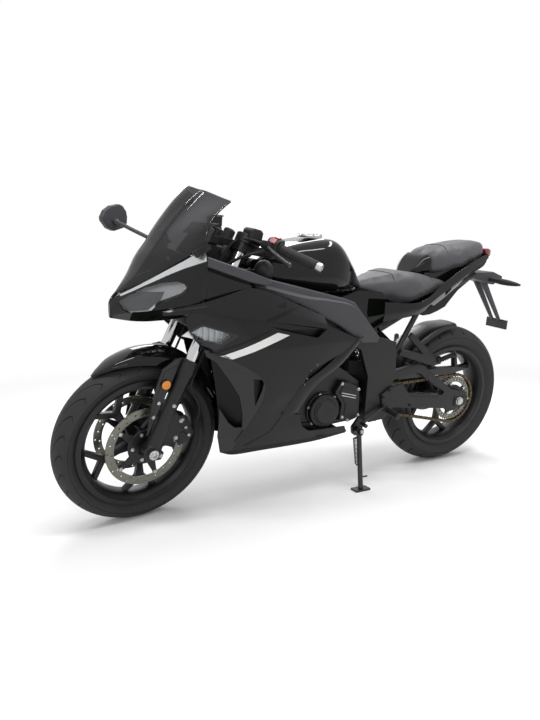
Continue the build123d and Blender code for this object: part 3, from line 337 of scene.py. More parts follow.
# A finished mesh becomes a piece: finishes, shading, modifiers, the body it rides on and what it replaces.
def addPiece(name, mesh, finishNames, body, replaces=(), sharp=32, wall=0, bevel=0, weighted=True):
    finishNames = [finishNames] if isinstance(finishNames, str) else finishNames
    mesh.name = name
    if not mesh.materials:
        for finishName in finishNames:
            mesh.materials.append(finish[finishName])
    mesh.polygons.foreach_set("use_smooth", [True] * len(mesh.polygons))
    mesh.set_sharp_from_angle(angle=radians(sharp))
    piece = newObject(name, mesh)
    if wall:
        skin = piece.modifiers.new("wall", "SOLIDIFY")
        skin.thickness, skin.offset, skin.use_even_offset = wall / 1000, -1, True
    if bevel:
        edge = piece.modifiers.new("edges", "BEVEL")
        edge.width, edge.segments, edge.limit_method = bevel / 1000, 2, "ANGLE"
        edge.angle_limit = radians(sharp)
    if weighted:
        piece.modifiers.new("shading", "WEIGHTED_NORMAL").keep_sharp = not bevel
    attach(piece, body)
    if replaces:
        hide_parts(*([replaces] if isinstance(replaces, str) else replaces))
    return piece


def meshOf(bm, where=None):
    bmesh.ops.remove_doubles(bm, verts=bm.verts, dist=0.001)
    bmesh.ops.recalc_face_normals(bm, faces=bm.faces)
    mesh = draftOf(bm)
    if where:
        mesh.transform(where)
    return mesh


def joined(*meshes):
    bm = bmesh.new()
    for mesh in meshes:
        bm.from_mesh(mesh)
        bpy.data.meshes.remove(mesh)
    return draftOf(bm)


def withFinish(mesh, index):
    mesh.polygons.foreach_set("material_index", [index] * len(mesh.polygons))
    return mesh


# A plate with rounded edges, its outline drawn in side view as (x, z).
def plateMesh(outline, yIn, yOut, bevel=1.5, where=None, segments=2):
    bm = bmesh.new()
    near = [bm.verts.new((x, yIn, z)) for x, z in outline]
    far = [bm.verts.new((x, yOut, z)) for x, z in outline]
    bm.faces.new(near)
    bm.faces.new(list(reversed(far)))
    for at in range(len(outline)):
        after = (at + 1) % len(outline)
        bm.faces.new((near[after], near[at], far[at], far[after]))
    bmesh.ops.recalc_face_normals(bm, faces=bm.faces)
    if bevel:
        bmesh.ops.bevel(bm, geom=bm.edges[:], offset=bevel, segments=segments, profile=0.6, affect="EDGES",
            clamp_overlap=True)
    return meshOf(bm, where)


# A turned piece: rows of (radius, along) about the line from start towards end.
def latheMesh(rows, start, end, segments=40, where=None):
    axis = (Vector(end) - Vector(start)).normalized()
    across = axis.orthogonal().normalized()
    other = axis.cross(across)
    bm = bmesh.new()
    rings = []
    for radius, along in rows:
        middle = Vector(start) + axis * along
        if radius < 1e-6:
            rings.append([bm.verts.new(middle)])
            continue
        turns = [2 * pi * at / segments for at in range(segments)]
        rings.append([bm.verts.new(middle + (across * cos(t) + other * sin(t)) * radius) for t in turns])
    for low, high in zip(rings, rings[1:]):
        for at in range(segments):
            corners = [low[at % len(low)], low[(at + 1) % len(low)], high[(at + 1) % len(high)],
                high[at % len(high)]]
            corners = list(dict.fromkeys(corners))
            if len(corners) > 2:
                bm.faces.new(corners)
    for endRing in (rings[0], rings[-1]):
        if len(endRing) > 2 and rows[0] != rows[-1]:
            bm.faces.new(endRing)
    return meshOf(bm, where)


# A straight bar with softened ends.
def barMesh(start, end, radius, segments=24, where=None):
    length = (Vector(end) - Vector(start)).length
    soft = min(radius * 0.25, length * 0.2)
    rows = [(radius - soft, 0), (radius, soft), (radius, length - soft), (radius - soft, length)]
    return latheMesh(rows, start, end, segments, where)


# A tube along a smooth line through its control points.
def tubeMesh(points, radius, where=None, smooth=True, sides=4):
    line = bpy.data.curves.new("line", "CURVE")
    line.dimensions = "3D"
    run = line.splines.new("NURBS" if smooth else "POLY")
    run.points.add(len(points) - 1)
    for spot, point in zip(run.points, points):
        spot.co = (*point, 1.0)
    if smooth:
        run.order_u = 3
        run.use_endpoint_u = True
        run.resolution_u = 8
    line.bevel_depth = radius
    line.bevel_resolution = sides
    line.use_fill_caps = True
    holder = newObject("line", line)
    mesh = finalMesh(holder)
    bpy.data.objects.remove(holder)
    bpy.data.curves.remove(line)
    if where:
        mesh.transform(where)
    return mesh


# A flat plate with holes: closed loops of (x, z), thickness along y.
def piercedMesh(loops, thickness, edge=0.4):
    line = bpy.data.curves.new("flat", "CURVE")
    line.dimensions = "2D"
    line.fill_mode = "BOTH"
    line.extrude = thickness / 2 - edge
    line.bevel_depth = edge
    line.bevel_resolution = 1
    line.offset = -edge
    for loop in loops:
        run = line.splines.new("POLY")
        run.points.add(len(loop) - 1)
        for spot, (x, z) in zip(run.points, loop):
            spot.co = (x, z, 0, 1)
        run.use_cyclic_u = True
    holder = newObject("flat", line)
    mesh = finalMesh(holder)
    bpy.data.objects.remove(holder)
    bpy.data.curves.remove(line)
    mesh.transform(Matrix.Rotation(radians(90), 4, "X"))
    bm = bmesh.new()
    bm.from_mesh(mesh)
    bpy.data.meshes.remove(mesh)
    return meshOf(bm)


def circle(radius, count=48, x=0.0, z=0.0):
    return [(x + radius * cos(2 * pi * at / count), z + radius * sin(2 * pi * at / count))
        for at in range(count)]


# Points of a smooth line through given points, with corners kept at the breaks.
def smoothLine(points, steps, breaks=()):
    out = []
    last = len(points) - 1
    for at in range(last):
        here, after = points[at], points[at + 1]
        before = points[at - 1] if at > 0 and at not in breaks else here * 2 - after
        beyond = points[at + 2] if at + 2 <= last and at + 1 not in breaks else after * 2 - here
        for step in range(steps):
            t = step / steps
            out.append(0.5 * (2 * here + (after - before) * t + (2 * before - 5 * here + 4 * after
                        - beyond) * t * t
                    + (3 * here - before - 3 * after + beyond) * t * t * t))
    out.append(points[-1])
    return out


# A smooth sheet through rows of points, facing the outward point's side.
def sheetMesh(rows, rowSteps=4, colSteps=4, rowBreaks=(), colBreaks=(), outward=(0, 1, 0), where=None):
    rows = [[Vector(p) for p in row] for row in rows]
    fine = [smoothLine(row, colSteps, colBreaks) for row in rows]
    columns = [smoothLine([row[at] for row in fine], rowSteps, rowBreaks) for at in range(len(fine[0]))]
    bm = bmesh.new()
    grid = [[bm.verts.new(p) for p in column] for column in columns]
    for a, b in zip(grid, grid[1:]):
        for at in range(len(a) - 1):
            bm.faces.new((a[at], a[at + 1], b[at + 1], b[at]))
    bm.normal_update()
    lean = sum((face.normal * face.calc_area() for face in bm.faces), Vector())
    if lean.dot(Vector(outward)) < 0:
        bmesh.ops.reverse_faces(bm, faces=bm.faces)
    mesh = draftOf(bm)
    if where:
        mesh.transform(where)
    return mesh


def mirroredMesh(mesh):
    copy = mesh.copy()
    bm = bmesh.new()
    bm.from_mesh(copy)
    for vert in bm.verts:
        vert.co.y = -vert.co.y
    bmesh.ops.reverse_faces(bm, faces=bm.faces)
    bm.to_mesh(copy)
    bm.free()
    return copy


def bothSides(mesh):
    return joined(mirroredMesh(mesh), mesh)


# A node tree that takes a geometry and the named inputs, and gives a geometry.
def newTree(name, inputs):
    tree = bpy.data.node_groups.new(name, "GeometryNodeTree")
    tree.interface.new_socket("Geometry", in_out="INPUT", socket_type="NodeSocketGeometry")
    for label, kind in inputs.items():
        tree.interface.new_socket(label, in_out="INPUT", socket_type="NodeSocket" + kind)
    tree.interface.new_socket("Geometry", in_out="OUTPUT", socket_type="NodeSocketGeometry")
    return tree


# Copies of a shape turned about the y axis, merged into one mesh.
def makeRingTree():
    tree = newTree("copiesRoundAxle", {"Count": "Int", "Merge Distance": "Float", "Finish": "Material"})
    entry = addNode(tree, "NodeGroupInput")
    line = addNode(tree, "GeometryNodeMeshLine", {"Offset": (0, 0, 0)}, {"Count": entry.outputs["Count"]})
    index = addNode(tree, "GeometryNodeInputIndex")
    share = addNode(tree, "ShaderNodeMath", {"operation": "DIVIDE"},
        {0: index.outputs[0], 1: entry.outputs["Count"]})
    angle = addNode(tree, "ShaderNodeMath", {"operation": "MULTIPLY", 1: 2 * pi}, {0: share.outputs[0]})
    turn = addNode(tree, "ShaderNodeCombineXYZ", None, {"Y": angle.outputs[0]})
    copies = addNode(tree, "GeometryNodeInstanceOnPoints", None, {
            "Points": line.outputs[0], "Instance": entry.outputs["Geometry"], "Rotation": turn.outputs[0]})
    real = addNode(tree, "GeometryNodeRealizeInstances", None, {0: copies.outputs[0]})
    merged = addNode(tree, "GeometryNodeMergeByDistance", None, {
            "Geometry": real.outputs[0], "Distance": entry.outputs["Merge Distance"]})
    coated = addNode(tree, "GeometryNodeSetMaterial", None, {
            "Geometry": merged.outputs[0], "Material": entry.outputs["Finish"]})
    addNode(tree, "NodeGroupOutput", None, {0: coated.outputs[0]})
    return tree


# A shape set on every point, turned by the point's own angles.
def makeSpotTree():
    tree = newTree("shapeOnPoints", {"Shape": "Object", "Size": "Float", "Finish": "Material"})
    entry = addNode(tree, "NodeGroupInput")
    shape = addNode(tree, "GeometryNodeObjectInfo", None, {"Object": entry.outputs["Shape"]})
    turn = addNode(tree, "GeometryNodeInputNamedAttribute", {"data_type": "FLOAT_VECTOR", "Name": "turn"})
    copies = addNode(tree, "GeometryNodeInstanceOnPoints", None, {
            "Points": entry.outputs["Geometry"], "Instance": shape.outputs["Geometry"],
            "Rotation": turn.outputs[0],
            "Scale": entry.outputs["Size"]})
    real = addNode(tree, "GeometryNodeRealizeInstances", None, {0: copies.outputs[0]})
    coated = addNode(tree, "GeometryNodeSetMaterial", None, {
            "Geometry": real.outputs[0], "Material": entry.outputs["Finish"]})
    addNode(tree, "NodeGroupOutput", None, {0: coated.outputs[0]})
    return tree


ringTree = makeRingTree()
spotTree = makeSpotTree()


def runTree(mesh, tree, inputs):
    holder = newObject("holder", mesh)
    nodesModifier = holder.modifiers.new("copies", "NODES")
    nodesModifier.node_group = tree
    for item in tree.interface.items_tree:
        if item.in_out == "INPUT" and item.name in inputs:
            nodesModifier[item.identifier] = inputs[item.name]
    made = finalMesh(holder)
    holder.modifiers.clear()
    bpy.data.objects.remove(holder)
    bpy.data.meshes.remove(mesh)
    return made


def ringCopies(mesh, count, finishName, merge=0.001):
    return runTree(mesh, ringTree, {"Count": count, "Merge Distance": merge, "Finish": finish[finishName]})


# Spots are (place, direction): the shape's own z axis turns to the direction.
def setOnSpots(shapeMesh, spots, finishName, size=1.0, where=None):
    cloud = bpy.data.meshes.new("spots")
    cloud.from_pydata([tuple(place) for place, _ in spots], [], [])
    turns = cloud.attributes.new("turn", "FLOAT_VECTOR", "POINT")
    for at, (_, direction) in enumerate(spots):
        if isinstance(direction, Matrix):
            turns.data[at].vector = direction.to_euler()
        else:
            turns.data[at].vector = Vector(direction).to_track_quat("Z", "Y").to_euler()
    shape = newObject("shape", shapeMesh)
    made = runTree(cloud, spotTree, {"Shape": shape, "Size": size, "Finish": finish[finishName]})
    bpy.data.objects.remove(shape)
    bpy.data.meshes.remove(shapeMesh)
    if where:
        made.transform(where)
    return made


# A socket-head or domed bolt standing on the xy plane.
def boltMesh(radius, height, sides=12):
    rows = [(radius * 1.25, 0), (radius * 1.25, height * 0.2), (radius, height * 0.2),
        (radius, height * 0.85), (radius * 0.85, height), (radius * 0.5, height),
        (radius * 0.45, height * 0.55), (0, height * 0.55)]
    return latheMesh(rows, (0, 0, 0), (0, 0, 1), sides)


# Tyres: one tread pitch, repeated round the axle
tyreTable = {
    "front_tyre": dict(radius=293, width=110, crown=62, rimWidth=88, pitches=26, body="front_wheel",
        hub=frontHubAt, grooveFrom=9, grooveTo=52, hook=1.15, curl=0.3, depth=4.5, half=0.05),
    "rear_tyre": dict(radius=314, width=140, crown=82, rimWidth=114, pitches=26, body="rear_wheel",
        hub=rearHubAt, grooveFrom=7, grooveTo=50, hook=1.0, curl=0.12, depth=5.0, half=0.06),
}
rimSeat = {"beadR": 217.3, "lipR": 233.0, "flangeT": 6.3}


def tyrePitch(radius, width, crown, rimWidth, pitches, grooveFrom, grooveTo, hook, curl, depth, half):
    beadY = rimWidth / 2 - rimSeat["flangeT"]
    shoulder = degrees(asin(width / 2 / crown))
    shoulderR = radius - crown + crown * cos(radians(shoulder))
    rows = [(rimSeat["beadR"], 0.0, None), (rimSeat["beadR"], -beadY, None),
        (rimSeat["lipR"] - 2, -beadY, None), (rimSeat["lipR"] + 3, -beadY - 2.5, None)]
    for share in (0.25, 0.5, 0.75):
        bulge = sin(share * pi / 2)
        r = rimSeat["lipR"] + 3 + (shoulderR - rimSeat["lipR"] - 3) * share
        rows.append((r, -(beadY + 2.5 + (width / 2 - beadY - 2.5) * bulge ** 0.7), None))
    rows.append((shoulderR - 3, -width / 2 - 0.4, None))
    angles = [-shoulder, -grooveTo - 0.01, -grooveTo + 2, -45, -41, -36, -30, -24, -18, -13, -grooveFrom - 2,
        -grooveFrom, -3]
    angles = angles + [0] + [-a for a in reversed(angles)]
    for angle in angles:
        rows.append((radius - crown + crown * cos(radians(angle)), crown * sin(radians(angle)), angle))
    rows += [(r, -y, None) for r, y, _ in reversed(rows[1:8])]
    marks = [(0.0, 0), (0.25 - half, 0), (0.25 - half * 0.6, 1), (0.25 + half * 0.6, 1), (0.25 + half, 0),
        (0.5, 0), (0.75 - half, 0), (0.75 - half * 0.6, -1), (0.75 + half * 0.6, -1), (0.75 + half, 0),
        (1.0, 0)]
    bm = bmesh.new()
    grid = []
    for share, side in marks:
        column = []
        for r, y, angle in rows:
            cut = 0.0
            sweep = 0.0
            if angle is not None:
                t = min(max((abs(angle) - grooveFrom) / (grooveTo - grooveFrom), 0), 1)
                sweep = hook * (1 - (1 - t) ** 2.2) - curl * max(0.0, (t - 0.7) / 0.3) ** 2
                inside = grooveFrom <= abs(angle) <= grooveTo
                if side and inside and angle * side > 0:
                    cut = depth * (1 if grooveFrom + 1 < abs(angle) < grooveTo - 1 else 0.35)
            turn = 2 * pi * (share + sweep) / pitches
            reachOut = r - cut
            column.append(bm.verts.new((reachOut * cos(turn), y, reachOut * sin(turn))))
        grid.append(column)
    for a, b in zip(grid, grid[1:]):
        for at in range(len(a)):
            after = (at + 1) % len(a)
            bm.faces.new((a[at], a[after], b[after], b[at]))
    return draftOf(bm)


for tyreName, row in tyreTable.items():
    spec = {key: value for key, value in row.items() if key not in ("body", "hub")}
    tyre = ringCopies(tyrePitch(**spec), row["pitches"], "tyreRubber", 0.02)
    shaped = bmesh.new()
    shaped.from_mesh(tyre)
    tyre = meshOf(shaped, row["hub"])
    addPiece(tyreName + "_tread", tyre, "tyreRubber", row["body"], tyreName, sharp=40)
print("tyres made")

# Rims: turned barrel, five forked spokes and a hub
rimTable = {
    "front_rim": dict(width=88, hubHalf=57, body="front_wheel", hub=frontHubAt),
    "rear_rim": dict(width=114, hubHalf=75, body="rear_wheel", hub=rearHubAt),
}
spoke = {"count": 5, "halfThick": 12, "rootHalf": 17, "forkR": 122, "crotchR": 150, "spread": 17.0,
    "tip": 3.0, "reach": 197}


def polar(radius, angle):
    return (radius * cos(radians(angle)), radius * sin(radians(angle)))


def spokeOutline():
    outer, inner = spoke["spread"] + spoke["tip"], spoke["spread"] - spoke["tip"]
    upper = [polar(spoke["reach"], inner), polar(spoke["reach"], outer),
        (spoke["forkR"] + 14, spoke["rootHalf"] * 0.95), (spoke["forkR"] - 10, spoke["rootHalf"] * 0.72),
        (80, spoke["rootHalf"] * 0.66), (36, spoke["rootHalf"] * 1.15)]
    return [(spoke["crotchR"], 0)] + upper + [(x, -z) for x, z in reversed(upper)]


for rimName, row in rimTable.items():
    edge = row["width"] / 2
    half = [(192, 18), (199, edge - 14), (210, edge - 5), (212, edge - 0.5), (218, edge), (229, edge),
        (231, edge - 2), (231, edge - 6), (217, edge - 6), (217, 26), (199, 18)]
    loop = half + [(r, -y) for r, y in reversed(half)]
    barrel = latheMesh(loop + loop[:1], (0, 0, 0), (0, 1, 0), 96)
    spokeMesh = plateMesh(spokeOutline(), -spoke["halfThick"], spoke["halfThick"], 5,
        Matrix.Rotation(radians(90), 4, "Y"), 3)
    spokes = ringCopies(spokeMesh, spoke["count"], "powderCoatedAlloy")
    h = row["hubHalf"]
    hubRows = [(11, -h), (30, -h), (34, -h + 3), (38, -h + 16), (44, -16), (44, 16), (38, h - 16),
        (34, h - 3), (30, h), (11, h), (11, -h)]
    hub = latheMesh(hubRows, (0, 0, 0), (0, 1, 0), 48)
    valve = barMesh((-193, 0, 6), (-170, 6, 6), 3.2, 12)
    wheel = joined(barrel, spokes, hub, valve)
    wheel.transform(row["hub"])
    addPiece(rimName + "_cast", wheel, "powderCoatedAlloy", row["body"], rimName, sharp=38)
print("rims made")

# Discs: drilled steel bands on black carriers with bright buttons
discTable = {
    "front_discs": dict(radius=140, band=29, sides=(60, -60), body="front_wheel", hub=frontHubAt,
        holeRows=(7, 14.5, 22)),
    "rear_disc": dict(radius=110, band=27, sides=(-78,), body="rear_wheel", hub=rearHubAt, holeRows=(9, 18)),
}
drill = {"around": 36, "radius": 3.0, "lag": 3.3}


def discBand(radius, band, holeRows):
    loops = [circle(radius, 120), circle(radius - band, 120)]
    for at in range(drill["around"]):
        row = at % len(holeRows)
        angle = at * 360 / drill["around"] + row * drill["lag"]
        x, z = polar(radius - holeRows[row], angle)
        loops.append(circle(drill["radius"], 10, x, z))
    return piercedMesh(loops, 4.5)


def discCarrier(inner):
    arms = []
    for at in range(5):
        turn = Matrix.Rotation(radians(36 + at * 72), 4, "Y")
        arms.append(plateMesh([(50, -17), (inner - 10, -8), (inner + 3, -8), (inner + 3, 8), (inner - 10, 8),
                    (50, 17)],
                -2.2, 2.2, 1, turn))
    flange = latheMesh([(33, -3), (62, -3), (64, -1), (64, 1), (62, 3), (33, 3), (33, -3)], (0, 0, 0),
        (0, 1, 0), 48)
    return joined(flange, *arms)


for discName, row in discTable.items():
    parts = []
    for side in row["sides"]:
        shift = row["hub"] @ Matrix.Translation((0, side, 0))
        inner = row["radius"] - row["band"]
        band = withFinish(discBand(row["radius"], row["band"], row["holeRows"]), 0)
        carrier = withFinish(discCarrier(inner), 1)
        outwards = 1 if side > 0 else -1
        spots = []
        for at in range(5):
            x, z = polar(inner - 2, -36 - at * 72)
            spots.append(((x, outwards * 2, z), (0, outwards, 0)))
            x, z = polar(48, -72 - at * 72)
            spots.append(((x, outwards * 2.5, z), (0, outwards, 0)))
        buttons = withFinish(setOnSpots(boltMesh(5.5, 5), spots, "machinedAluminium"), 2)
        piece = joined(band, carrier, buttons)
        piece.transform(shift)
        parts.append(piece)
    disc = joined(*parts)
    addPiece(discName + "_drilled", disc, ("groundSteel", "powderCoatedAlloy", "machinedAluminium"),
        row["body"], discName, sharp=35, weighted=False)
print("discs made")

# Fork: sliders with their collars, bright tubes, axle clamps and the caliper lugs
fork = {"offset": stance["frontAxleUp"] * sin(rakeAngle) - stance["trail"] * cos(rakeAngle), "y": 97,
    "collar": 31, "tube": 20.5,
    "sliderTop": 640, "top": 1085, "axleAt": stance["frontAxleUp"] * cos(rakeAngle)
    + stance["trail"] * sin(rakeAngle)}
steerUp = Vector((-sin(rakeAngle), 0, cos(rakeAngle)))
steerForward = Vector((cos(rakeAngle), 0, sin(rakeAngle)))
steerFoot = Vector((stance["wheelbase"] + stance["trail"], 0, 0))


def forkPoint(forward, left, up):
    return steerFoot + steerForward * forward + Vector((0, left, 0)) + steerUp * up


# A plate in the fork's own slant, its outline forward of and up the steering axis.
def forkPlate(outline, yIn, yOut, bevel=1.5):
    flat = [forkPoint(f, 0, u) for f, u in outline]
    return plateMesh([(p.x, p.z) for p in flat], yIn, yOut, bevel)


a, o = fork["axleAt"], fork["offset"]
legFoot, legHead = forkPoint(o, fork["y"], 0), forkPoint(o, fork["y"], 1000)
sliderRows = [(18, a - 24), (24, a - 20), (26, a - 10), (25, a + 40), (24.5, a + 150), (25.5, a + 250),
    (28, a + 276), (31, a + 290), (31, fork["sliderTop"] - 14), (29.5, fork["sliderTop"] - 10),
    (30.5, fork["sliderTop"] - 6), (30, fork["sliderTop"] - 1), (27, fork["sliderTop"]),
    (21, fork["sliderTop"])]
slider = withFinish(latheMesh(sliderRows, legFoot, legHead), 0)
tube = withFinish(latheMesh([(20.5, fork["sliderTop"] - 2), (20.5, fork["top"] - 2), (19, fork["top"])],
        legFoot, legHead), 1)
axleEye = latheMesh([(11, 0), (24, 0), (29, 3), (30, 8), (30, 44), (27, 48), (20, 48), (20, 40), (11, 40),
        (11, 0)],
    (stance["wheelbase"], 72, stance["frontAxleUp"]), (stance["wheelbase"], 130, stance["frontAxleUp"]))
pinch = forkPlate([(o - 44, a - 16), (o - 44, a + 10), (o - 10, a + 26), (o - 10, a - 30)], 84, 114, 4)
lug = forkPlate([(o - 4, a + 152), (o - 40, a + 148), (o - 66, a + 128), (o - 80, a + 96), (o - 76, a + 62),
        (o - 40, a + 44), (o - 4, a + 34)], 88.4, 98, 2)
lugHole = forkPlate([(o - 26, a + 122), (o - 50, a + 112), (o - 58, a + 86), (o - 26, a + 72)], 98, 99, 0.4)
forkBolts = [(forkPoint(o - 62, 98, a + 128), (0, 1, 0)), (forkPoint(o - 70, 98, a + 66), (0, 1, 0)),
    (forkPoint(o - 34, 114, a - 2), (0, 1, 0)), (forkPoint(o + 2, 120, a + 176), (0, 1, 0))]
bolts = withFinish(setOnSpots(boltMesh(6, 7), forkBolts, "machinedAluminium"), 2)
leg = joined(slider, tube, withFinish(joined(axleEye, pinch, lug, lugHole), 0), bolts)
legs = bothSides(leg)
legs.transform(forkAt)
addPiece("fork_legs_turned", legs, ("powderCoatedAlloy", "hardChrome", "machinedAluminium"), "front_end",
    "fork_legs", sharp=30)

# Calipers: bodies with pots, pads, bolts and the hose's banjo
caliperAngle = 158.0


def caliperMesh():
    hubPlace = Matrix.Translation((stance["wheelbase"], 0, stance["frontAxleUp"]))
    turn = hubPlace @ Matrix.Rotation(radians(-caliperAngle), 4, "Y")
    bodyOutline = [(97, -52), (97, 52), (118, 56), (152, 50), (167, 34), (167, -34), (152, -50), (118, -56)]
    outer = plateMesh(bodyOutline, 67.5, 86, 4, turn, 3)
    inner = plateMesh(bodyOutline, 33, 52.5, 4, turn, 3)
    bridge = plateMesh([(146, -46), (146, 46), (160, 36), (166, 24), (166, -24), (160, -36)], 50, 70, 2, turn)
    pots = []
    for z in (-24, 24):
        pots.append(latheMesh([(0, 2.5), (10, 2.5), (12, 3.5), (15, 3.5), (17, 2), (17.5, 0)], (122, 85.5, z),
                (122, 90, z), 32, turn))
    pads = [plateMesh([(100, -42), (100, 42), (128, 42), (128, -42)], y0, y1, 0.8, turn)
        for y0, y1 in ((52, 55.5), (64.5, 68))]
    spots = [(turn @ Vector((146, 86, z)), (0, 1, 0)) for z in (-34, 0, 34)]
    screws = withFinish(setOnSpots(boltMesh(4.5, 5), spots, "machinedAluminium"), 1)
    banjoAt = turn @ Vector((112, 86, -50))
    banjo = joined(boltMeshAt(banjoAt, 8, 8), withFinish(barMesh(banjoAt + Vector((0, 3, 0)),
                banjoAt + Vector((-8, 5, 26)), 4.5, 16), 1))
    return joined(withFinish(joined(outer, inner, bridge, *pots, *pads), 0), screws, banjo)


def boltMeshAt(place, radius, height):
    return withFinish(setOnSpots(boltMesh(radius, height), [(place, (0, 1, 0))], "machinedAluminium"), 1)


calipers = bothSides(caliperMesh())
calipers.transform(forkAt)
addPiece("front_calipers_cast", calipers, ("powderCoatedAlloy", "machinedAluminium"), "front_end",
    "front_calipers", sharp=34)

# Axle with its nut and cap
axleAtHub = Vector((stance["wheelbase"], 0, stance["frontAxleUp"]))
axleRows = [(0, -138), (9, -138), (13, -136), (17, -134), (17, -126), (10, -124), (10, 124), (17, 126),
    (17, 132), (12, 134), (12, 138), (8, 138), (7, 132), (0, 132)]
axle = latheMesh(axleRows, axleAtHub, axleAtHub + Vector((0, 1, 0)), 24)
axle.transform(forkAt)
addPiece("front_axle_turned", axle, "machinedAluminium", "front_end", "front_axle", sharp=30)
rearAxleRows = [(0, -138), (9, -138), (9, -131), (17, -130), (17, -124.4), (10, -124), (10, 124), (18, 124.4),
    (18, 129), (15, 130), (15, 136), (9, 137), (9, 138.3), (0, 138.3)]
rearAxle = latheMesh(rearAxleRows, (0, 0, 0), (0, 1, 0), 6 * 6)
rearAxle.transform(rearHubAt)
addPiece("rear_axle_turned", rearAxle, "machinedAluminium", "chassis", "rear_axle", sharp=30)
print("fork and brakes made")

# Front fender: a pointed lacquered shell with a blade before each leg
fenderTable = [
    # angle round the axle, crest radius, half width, low edge
    (58, 303, 6, 299.5), (64, 309, 26, 300), (74, 320, 50, 300), (90, 335, 63, 292), (108, 346, 67, 286),
    (128, 334, 67, 290), (152, 313, 60, 286),
]
fenderRows = []
for angle, crest, halfWidth, low in fenderTable:
    row = []
    for share, rise in ((-1, 0), (-0.93, 0.45), (-0.72, 0.82), (-0.3, 0.97), (0, 1), (0.3, 0.97),
            (0.72, 0.82), (0.93, 0.45), (1, 0)):
        r = low + (crest - low) * rise
        row.append(axleAtHub + Vector((r * cos(radians(angle)), halfWidth * share, r * sin(radians(angle)))))
    fenderRows.append(row)
shell = sheetMesh(fenderRows, 4, 2, colBreaks=(2, 6), outward=(0, 0, 1), where=forkAt)
addPiece("front_fender_shell", shell, "blackLacquer", "front_end", "front_fender", sharp=30, wall=3.5,
    bevel=1.0)
gap = fork["collar"] + 0.3
blade = forkPlate([(o + gap, 640), (o + 52, 628), (o + 84, 580), (o + 78, 520), (o + 64, 460),
        (o + gap + 4, 350), (o + gap, 356)],
    91, 97, 2)
ridge = forkPlate([(o + 40, 610), (o + 74, 574), (o + 56, 470), (o + 40, 392)], 97, 98.6, 1.2)
bladeBolts = setOnSpots(boltMesh(5, 5), [(forkPoint(o + 46, 98.6, 470), (0, 1, 0)),
        (forkPoint(o + 43, 98.6, 420), (0, 1, 0))],
    "machinedAluminium")
blades = bothSides(joined(withFinish(joined(blade, ridge), 0), withFinish(bladeBolts, 1)))
blades.transform(forkAt)
addPiece("fender_blades", blades, ("satinAbs", "machinedAluminium"), "front_end", sharp=34)

# Round reflectors with a rim and pressed wedges
reflectorAt = forkPoint(o + 50, 97.6, 536)
lensRows = [(0, 8.2), (4, 8), (15, 6.6), (16, 5.4), (16, 0)]
lens = withFinish(latheMesh(lensRows, reflectorAt, reflectorAt + Vector((0, 1, 0)), 12), 0)
ringRows = [(15.8, 0), (15.8, 6), (17, 6.4), (18, 5), (18, 0), (15.8, 0)]
bezel = withFinish(latheMesh(ringRows, reflectorAt, reflectorAt + Vector((0, 1, 0)), 40), 1)
reflectors = bothSides(joined(lens, bezel))
reflectors.transform(forkAt)
addPiece("fork_reflectors_round", reflectors, ("amberAcrylic", "satinAbs"), "front_end", "fork_reflectors",
    sharp=5, weighted=False)
print("fender made")


# A draft gets a wall behind its sheet, openings cut through it, or only what lies inside a shape is kept.
def workedMesh(mesh, wall=0.0, cutters=(), keep=None):
    holder = newObject("draft", mesh)
    if wall:
        skin = holder.modifiers.new("wall", "SOLIDIFY")
        skin.thickness, skin.offset, skin.use_even_offset = wall, -1, True
    tools = [holder]
    for shape, action in [(cutter, "DIFFERENCE") for cutter in cutters] + ([(keep, "INTERSECT")] if keep
            else []):
        tool = newObject("tool", shape)
        tools.append(tool)
        cut = holder.modifiers.new("cut", "BOOLEAN")
        cut.object, cut.operation, cut.solver = tool, action, "EXACT"
    made = finalMesh(holder)
    for tool in tools:
        used = tool.data
        bpy.data.objects.remove(tool)
        bpy.data.meshes.remove(used)
    return made


def surfaceOf(mesh):
    return BVHTree.FromPolygons([v.co for v in mesh.vertices], [tuple(p.vertices) for p in mesh.polygons])


# Evenly spaced points along a line of (x, z).
def evenPoints(line, count):
    points = [Vector((x, 0, z)) for x, z in line]
    reach = [0.0]
    for a, b in zip(points, points[1:]):
        reach.append(reach[-1] + (b - a).length)
    out = []
    for step in range(count):
        want = reach[-1] * step / (count - 1)
        at = max(i for i in range(len(points) - 1) if reach[i] <= want + 1e-6)
        share = (want - reach[at]) / max(reach[at + 1] - reach[at], 1e-6)
        out.append(points[at].lerp(points[at + 1], min(share, 1.0)))
    return out


# A thin foil between two edge lines of (x, z), dropped sideways onto a surface and lifted off it.
def foilMesh(edgeA, edgeB, surface, lift=0.7, along=24, across=4):
    first, second = evenPoints(edgeA, along), evenPoints(edgeB, along)
    bm = bmesh.new()
    grid = []
    for a, b in zip(first, second):
        column = []
        for step in range(across + 1):
            spot = a.lerp(b, step / across)
            place, normal, _, _ = surface.ray_cast(Vector((spot.x, 400, spot.z)), Vector((0, -1, 0)))
            if place is None:
                place, normal, _, _ = surface.find_nearest(Vector((spot.x, 230, spot.z)))
            normal = normal if normal.y > 0 else -normal
            column.append(bm.verts.new(place + normal * lift))
        grid.append(column)
    for a, b in zip(grid, grid[1:]):
        for at in range(across):
            face = bm.faces.new((a[at], a[at + 1], b[at + 1], b[at]))
            face.normal_update()
            if face.normal.y < 0:
                face.normal_flip()
    return draftOf(bm)


def piecePair(name, mesh, finishNames, body, replaces=(), **options):
    return addPiece(name, placed(bothSides(mesh), bikeAt), finishNames, body, replaces, **options)


def placed(mesh, where):
    mesh.transform(where)
    return mesh


